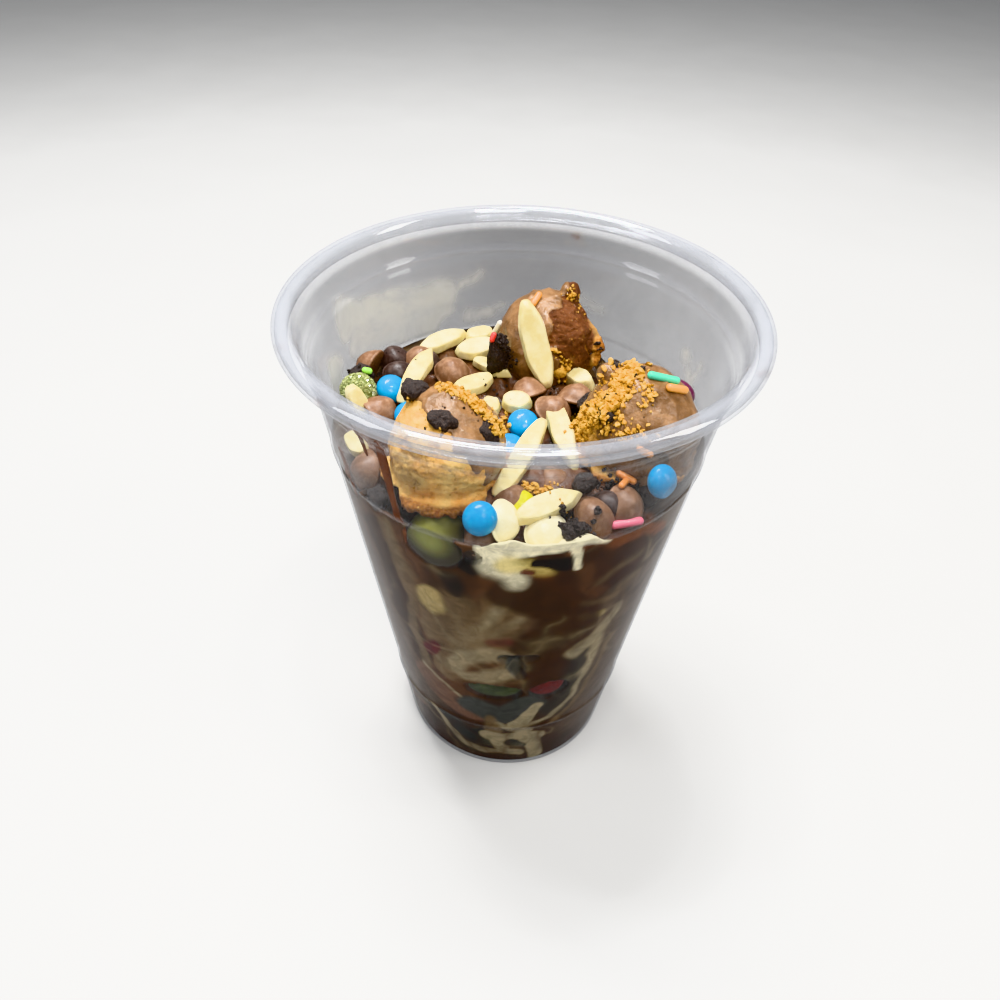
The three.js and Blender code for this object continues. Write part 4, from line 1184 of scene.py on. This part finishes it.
def toppings():
    """Every topping on the heap, each in place of its node. Returns their points and faces by node."""
    made = {}

    def add(node, form, at, turn, material, slot, colours=None):
        points, faces = form
        points = kept_inside(placed(points, at, turn))
        add_piece(f"{node}_piece", points, faces, MATERIALS[material], slot, [node], colours)
        made[node] = points, faces

    for k, (node, (at, turn, size)) in enumerate(ALMONDS.items()):
        add(node, almond_form(size, k + 1), at, turn, "almond", "almond")
    for k, (node, (at, turn)) in enumerate(DROPS.items()):
        kind = node.split("_")[0]
        add(node, drop_form(DROP_SIZES[kind], k + 1), at, turn, kind, f"{kind}_chocolate")
    for node, (at, turn) in CANDIES.items():
        kind = node.split("_")[1]
        add(node, candy_form(), at, turn, kind, f"candy_{kind}")
    for node, (at, turn, size) in CHUNKS.items():
        if node.startswith("nut"):
            add(node, chunk_form(size, 5, 0.35), at, turn, "nut", "nut")
        else:
            add(node, chunk_form(size, 5, 0.75), at, turn, "cookie", "cocoa_cookie")
    for node, (at, turn, size) in BALLS.items():
        points, faces = ball_form(size)
        colours = None
        if node == "sugar_ball":
            colours = np.tile(linear((98, 106, 62)), (len(points), 1))
        if node == "grape":
            # painted light and shade: the grape is lighter where it presses on the wall and darker towards
            # its edges
            lit = smoothstep(6.2, 0.8, np.hypot(points[:, 1] + 0.6, points[:, 2] - 2))[:, None]
            colours = linear((50, 42, 18)) * (1 - lit) + linear((136, 137, 66)) * lit
        add(node, (points, faces), at, turn, *BALL_LOOKS[node], colours)
    return made


# ---- the camera, and what it sees

CAMERA_AT = Vector((0, -139.97, 194.67))
CAMERA_PITCH, CAMERA_YAW, CAMERA_ROLL = 0.729, -0.024, 0.033  # radians: down, to the side, and about its view
FOCAL_PIXELS = 804
PICTURE = 1000
SENSOR = 36


def camera_axes():
    ahead = Vector((
        math.sin(CAMERA_YAW) * math.cos(CAMERA_PITCH),
        math.cos(CAMERA_YAW) * math.cos(CAMERA_PITCH),
        -math.sin(CAMERA_PITCH),
    ))
    right = ahead.cross(Vector((0, 0, 1))).normalized()
    up = right.cross(ahead)
    level = Matrix.Rotation(-CAMERA_ROLL, 3, ahead)
    return level @ right, level @ up, ahead


def add_camera():
    right, up, ahead = camera_axes()
    lens = bpy.data.cameras.new("camera")
    lens.lens = FOCAL_PIXELS / PICTURE * SENSOR
    lens.sensor_width = SENSOR
    camera = bpy.data.objects.new("camera", lens)
    turn = Matrix((right, up, -ahead)).transposed().to_4x4()
    camera.matrix_world = Matrix.Translation(CAMERA_AT * MM) @ turn
    bpy.context.scene.collection.objects.link(camera)
    bpy.context.scene.camera = camera


class Sight:
    """Finds the place on the food that a pixel of the photograph shows."""

    def __init__(self, food):
        self.tree = BVHTree.FromPolygons(*as_lists(food.values()))
        self.nodes = np.repeat(list(food), [len(faces) for _, faces in food.values()])
        self.right, self.up, self.ahead = camera_axes()

    def at(self, x, y):
        """The place, the outward normal and the node at a pixel, or None."""
        half = PICTURE / 2
        way = self.ahead + self.right * ((x - half) / FOCAL_PIXELS) - self.up * ((y - half) / FOCAL_PIXELS)
        place, normal, face, _ = self.tree.ray_cast(CAMERA_AT, way.normalized())
        if place is None:
            return None
        return np.array(place), np.array(normal if normal.dot(way) < 0 else -normal), self.nodes[face]


# ---- small scattered things

# Sugar strands: the two ends in the photograph's pixels, the thickness, and the colour.
STRANDS = (
    ((650, 378), (674, 383), 1.5, (84, 196, 162)),
    ((668, 389), (682, 392), 1.5, (238, 164, 76)),
    ((534, 305), (539, 297), 1.4, (238, 158, 66)),
    ((615, 523), (637, 519), 1.6, (232, 112, 136)),
    ((620, 475), (633, 479), 1.4, (236, 150, 76)),
    ((626, 479), (622, 488), 1.3, (236, 150, 76)),
    ((493, 340), (495, 336), 1.2, (206, 60, 50)),
    ((491, 335), (507, 316), 1.3, (240, 234, 220)),
    ((640, 448), (650, 452), 1.4, (236, 156, 80)),
    ((364, 372), (368, 373), 1.4, (160, 220, 90)),
)
# Strips of crumbs by kind: pixels along the strip, its half-width in pixels, how many, and sizes in mm.
CRUMB_STRIPS = {"gold": (
    (((636, 364), (622, 386), (602, 406), (585, 420), (576, 438)), 11, 560, (0.35, 1.5)),
    (((636, 364), (620, 390), (600, 410)), 20, 160, (0.3, 1.1)),
    (((596, 422), (620, 432), (648, 434)), 12, 90, (0.3, 1.1)),
    (((640, 380), (652, 396), (640, 410)), 8, 50, (0.3, 1.1)),
    (((455, 388), (476, 402), (492, 420), (503, 438)), 6, 190, (0.35, 1.3)),
    (((440, 385), (462, 392)), 6, 60, (0.3, 1.2)),
    (((505, 418), (520, 428), (514, 442)), 7, 90, (0.4, 1.3)),
    (((556, 352), (572, 372), (566, 384)), 6, 60, (0.35, 0.9)),
    (((568, 290), (580, 300), (588, 312)), 6, 60, (0.3, 1.0)),
    (((520, 487), (540, 492), (560, 488)), 8, 110, (0.4, 1.3)),
    (((560, 505), (572, 500), (566, 515)), 6, 50, (0.35, 0.9)),
    (((395, 405), (430, 500)), 50, 50, (0.25, 0.5)),
), "cookie": (
    (((596, 412), (612, 400)), 8, 60, (0.4, 1.3)),
    (((356, 378), (376, 384)), 9, 90, (0.5, 1.3)),
    (((548, 512), (590, 524)), 14, 130, (0.5, 1.5)),
    (((500, 335), (512, 366)), 7, 60, (0.4, 1.1)),
    (((420, 400), (500, 430), (620, 440)), 44, 44, (0.25, 0.6)),
    (((480, 380), (560, 400), (480, 410)), 30, 90, (0.3, 0.8)),
    (((600, 480), (640, 500)), 18, 60, (0.4, 1.1)),
    (((395, 350), (480, 345)), 22, 30, (0.25, 0.6)),
    (((598, 352), (640, 372)), 12, 60, (0.4, 1.2)),
)}
SMOOTH = ("almond", "candy", "sugar", "white", "milk")  # most crumbs slide off these
SLIDE_OFF = 0.96
# Drops that peep out between the others: pixel in the photograph, tilt, heading and kind.
PEEPING_DROPS = (
    ((421, 352), 10, -60, "milk"), ((446, 355), 20, -80, "milk"), ((557, 404), 30, -30, "milk"),
    ((511, 495), 20, -80, "milk"), ((556, 474), 20, 10, "milk"), ((612, 500), 30, -60, "dark"),
)


PEEPING_DEPTH = 1.3  # how far below the surface such a drop's middle lies


def add_peeping_drops(sight):
    for kind in ("milk", "dark"):
        parts = []
        for k, ((x, y), tilt, heading, own_kind) in enumerate(PEEPING_DROPS):
            hit = sight.at(x, y)
            if own_kind == kind and hit is not None:
                points, faces = drop_form(DROP_SIZES[kind], k + 31)
                middle = hit[0] - np.array([0, 0, PEEPING_DEPTH])
                parts.append((kept_inside(placed(points, middle, (heading, tilt, 0))), faces))
        points, faces = joined(parts)
        add_piece(f"{kind}_drops_between", points, faces, MATERIALS[kind], f"{kind}_chocolate")


def crumb(size, draw, sphere):
    """An irregular grain of about the given size."""
    points, faces = sphere
    spin = turned(*draw.uniform(0, 360, 3))
    form = points * draw.uniform(0.5, 1.3, 3)
    form *= (1 + 0.8 * noise(points * 3 + draw.uniform(0, 99), 1.8))[:, None]
    return form @ spin.T * size / 2, faces


def strip_crumbs(sight, draw, sphere, line, half, count, sizes):
    """The crumbs of one strip, each lying on what its pixel shows."""
    line = np.array(line, float)
    made = []
    for _ in range(count):
        k = draw.uniform(0, len(line) - 1)
        i = int(k)
        x, y = line[i] + (k - i) * (line[i + 1] - line[i]) + draw.normal(0, half / 2, 2)
        hit = sight.at(x, y)
        if hit is None or (hit[2].startswith(SMOOTH) and draw.random() < SLIDE_OFF):
            continue
        size = sizes[0] + (sizes[1] - sizes[0]) * draw.random() ** 2
        points, faces = crumb(size, draw, sphere)
        made.append((kept_inside(points + hit[0] + hit[1] * size * 0.22), faces))
    return made


def add_crumbs(sight):
    draw = np.random.default_rng(5)
    sphere = icosphere(2)
    for kind, strips in CRUMB_STRIPS.items():
        made = [form for strip in strips for form in strip_crumbs(sight, draw, sphere, *strip)]
        slot = {"gold": "waffle", "cookie": "cocoa_cookie"}[kind]
        add_piece(f"{kind}_crumbs", *joined(made), MATERIALS[kind], slot, smooth=False)


LONGEST_STRAND, STRAND_LENGTH = 9, 6  # a strand that comes out longer than the first gets the second


def rod(start, end, thickness):
    """A round-ended rod between two places."""
    along = end - start
    length = np.linalg.norm(along)
    along = along / length
    side = np.cross(along, [0.1, 0.2, 1.0])
    side = side / np.linalg.norm(side)
    other = np.cross(along, side)
    a = np.radians(np.linspace(-90, 90, 14))
    radius = thickness / 2
    profile = [(radius * math.cos(t), radius * math.sin(t) + (length if t > 0 else 0)) for t in a]
    points, faces = turned_solid(np.array(profile), 20)
    return start + points[:, :1] * side + points[:, 1:2] * other + points[:, 2:] * along, faces


def add_strands(sight):
    parts, colours = [], []
    for first, last, thickness, colour in STRANDS:
        a, b = sight.at(*first), sight.at(*last)
        if a is None or b is None:
            continue
        lift = thickness * 0.42
        start, end = a[0] + a[1] * lift, b[0] + b[1] * lift
        reach = np.linalg.norm(end - start)
        if reach > LONGEST_STRAND:  # its far end has missed the food that it lies on
            end = start + (end - start) * STRAND_LENGTH / reach
        points, faces = rod(start, end, thickness)
        parts.append((kept_inside(points), faces))
        colours.append(np.tile(linear(colour), (len(points), 1)))
    points, faces = joined(parts)
    colours = np.concatenate(colours)
    add_piece("sugar_strands", points, faces, MATERIALS["strand"], "candy_yellow", (), colours)


GRAIN_COUNT = 900
CUBE_SIDES = ((0, 1, 3, 2), (4, 6, 7, 5), (0, 4, 5, 1), (2, 3, 7, 6), (0, 2, 6, 4), (1, 5, 7, 3))


def add_sugar_grains():
    """Grains of sugar all over the sugar ball."""
    at, _, size = BALLS["sugar_ball"]
    draw = np.random.default_rng(9)
    cube = np.array(list(itertools.product((-0.5, 0.5), repeat=3)))
    cube_faces = np.array(CUBE_SIDES)
    parts = []
    for _ in range(GRAIN_COUNT):
        way = draw.normal(0, 1, 3)
        way /= np.linalg.norm(way)
        spin = turned(*draw.uniform(0, 360, 3))
        grain = cube * draw.uniform(0.25, 0.6, 3) @ spin.T
        parts.append((kept_inside(grain + at + way * size[0] / 2), cube_faces))
    points, faces = joined(parts)
    add_piece("sugar_grains", points, faces, MATERIALS["sugar"], "sugar_crust", smooth=False)


# Runs of sauce down the inside of the wall: places on the wall, half-width and thickness.
RUNS = (
    (((-124.5, 113), (-124, 105), (-124, 97), (-122.6, 91), (-124, 85), (-125, 80)), 0.95, 0.7),
    (((-133, 116), (-131, 110), (-130, 106)), 0.6, 0.3),
    (((-148, 100), (-146, 94), (-144, 88)), 1.2, 0.5),
)


RUN_STEPS, RUN_SIDES = 60, 18


def run_form(line, half, thick):
    """A flat half-round run of sauce along a line of places on the wall."""
    line = np.array(line, float)
    t = np.linspace(0, len(line) - 1, RUN_STEPS)
    angle, z = (np.interp(t, np.arange(len(line)), line[:, k]) for k in (0, 1))
    angle, z = (np.convolve(np.pad(v, 4, "edge"), np.ones(9) / 9, "valid") for v in (angle, z))
    ends = np.sqrt(np.clip(1 - (2 * np.linspace(0, 1, RUN_STEPS) - 1) ** 8, 0.02, 1))
    wide = half * ends * (1 + 0.25 * np.sin(t * 2.3))
    section = np.radians(np.linspace(0, 360, RUN_SIDES, endpoint=False))
    r = inner_radius(z)
    across = np.degrees(wide / r)[:, None] * np.cos(section)
    depth = thick * ends[:, None] * np.sin(section) * np.where(np.sin(section) > 0, 1, 0.15)
    a = np.radians(angle[:, None] + across)
    radius = r[:, None] - depth
    height = np.broadcast_to(z[:, None], a.shape)
    rings = np.stack([radius * np.cos(a), radius * np.sin(a), height], -1)
    first, last = (np.broadcast_to(rings[k].mean(0), rings[k].shape) for k in (0, -1))
    points = np.concatenate([first, *rings, last])
    return points, grid_faces(RUN_STEPS + 2, RUN_SIDES)


def add_runs():
    points, faces = joined([run_form(*run) for run in RUNS])
    add_piece("sauce_runs", points, faces, MATERIALS["sauce"], "chocolate_filling")


# ---- floor and light


def add_stage():
    mesh = bpy.data.meshes.new("floor")
    mesh.from_pydata([(-3, -3, 0), (3, -3, 0), (3, 3, 0), (-3, 3, 0)], [], [(0, 1, 2, 3)])
    mesh.materials.append(pale_floor())
    floor = bpy.data.objects.new("floor", mesh)
    bpy.context.scene.collection.objects.link(floor)


def add_light(name, at, size, power, colour):
    lamp = bpy.data.lights.new(name, "AREA")
    lamp.shape = "RECTANGLE"
    lamp.size, lamp.size_y = size
    lamp.energy = power
    lamp.color = colour
    light = bpy.data.objects.new(name, lamp)
    light.location = at
    light.rotation_euler = (HEAP - Vector(at)).to_track_quat("-Z", "Y").to_euler()
    bpy.context.scene.collection.objects.link(light)


# Lamps: place in metres, size, power and colour.
LAMPS = {
    "over": ((-0.1, 0.2, 0.75), (0.28, 0.13), 7.6, (1, 1, 1)),
    "front": ((0.15, -0.45, 0.8), (0.25, 0.25), 4.4, (1, 1, 1)),
    "left": ((-0.7, -0.25, 0.5), (0.3, 0.5), 2.6, (0.97, 0.98, 1)),
    "right": ((0.65, -0.15, 0.45), (0.2, 0.5), 2.6, (1, 0.98, 0.95)),
    "spark": ((0.12, -0.08, 0.7), (0.05, 0.05), 2, (1, 1, 1)),
    "second_spark": ((-0.2, 0.1, 0.65), (0.04, 0.04), 1.4, (1, 1, 1)),
}
HEAP = Vector((0, 0, 0.1))  # what the lamps face


def add_lights():
    for name, lamp in LAMPS.items():
        add_light(name, *lamp)
    world = bpy.data.worlds.new("studio")
    world.use_nodes = True
    sky = world.node_tree.nodes["Background"].inputs
    sky["Color"].default_value = (0.92, 0.95, 1, 1)
    sky["Strength"].default_value = 0.27
    bpy.context.scene.world = world


def set_look():
    scene = bpy.context.scene
    scene.view_settings.view_transform = "Khronos PBR Neutral"
    scene.cycles.max_bounces = 6
    scene.cycles.transparent_max_bounces = 16
    scene.cycles.sample_clamp_indirect = 4


# ---- making it

add_camera()
set_look()
add_stage()
add_lights()
cup()
food = {node: dressed_waffle(node) for node in WAFFLES}
food.update(toppings())
food["filling"] = filling(BVHTree.FromPolygons(*as_lists([food[node] for node in PRESSED])))
sight = Sight(food)
add_peeping_drops(sight)
add_crumbs(sight)
add_strands(sight)
add_sugar_grains()
add_runs()
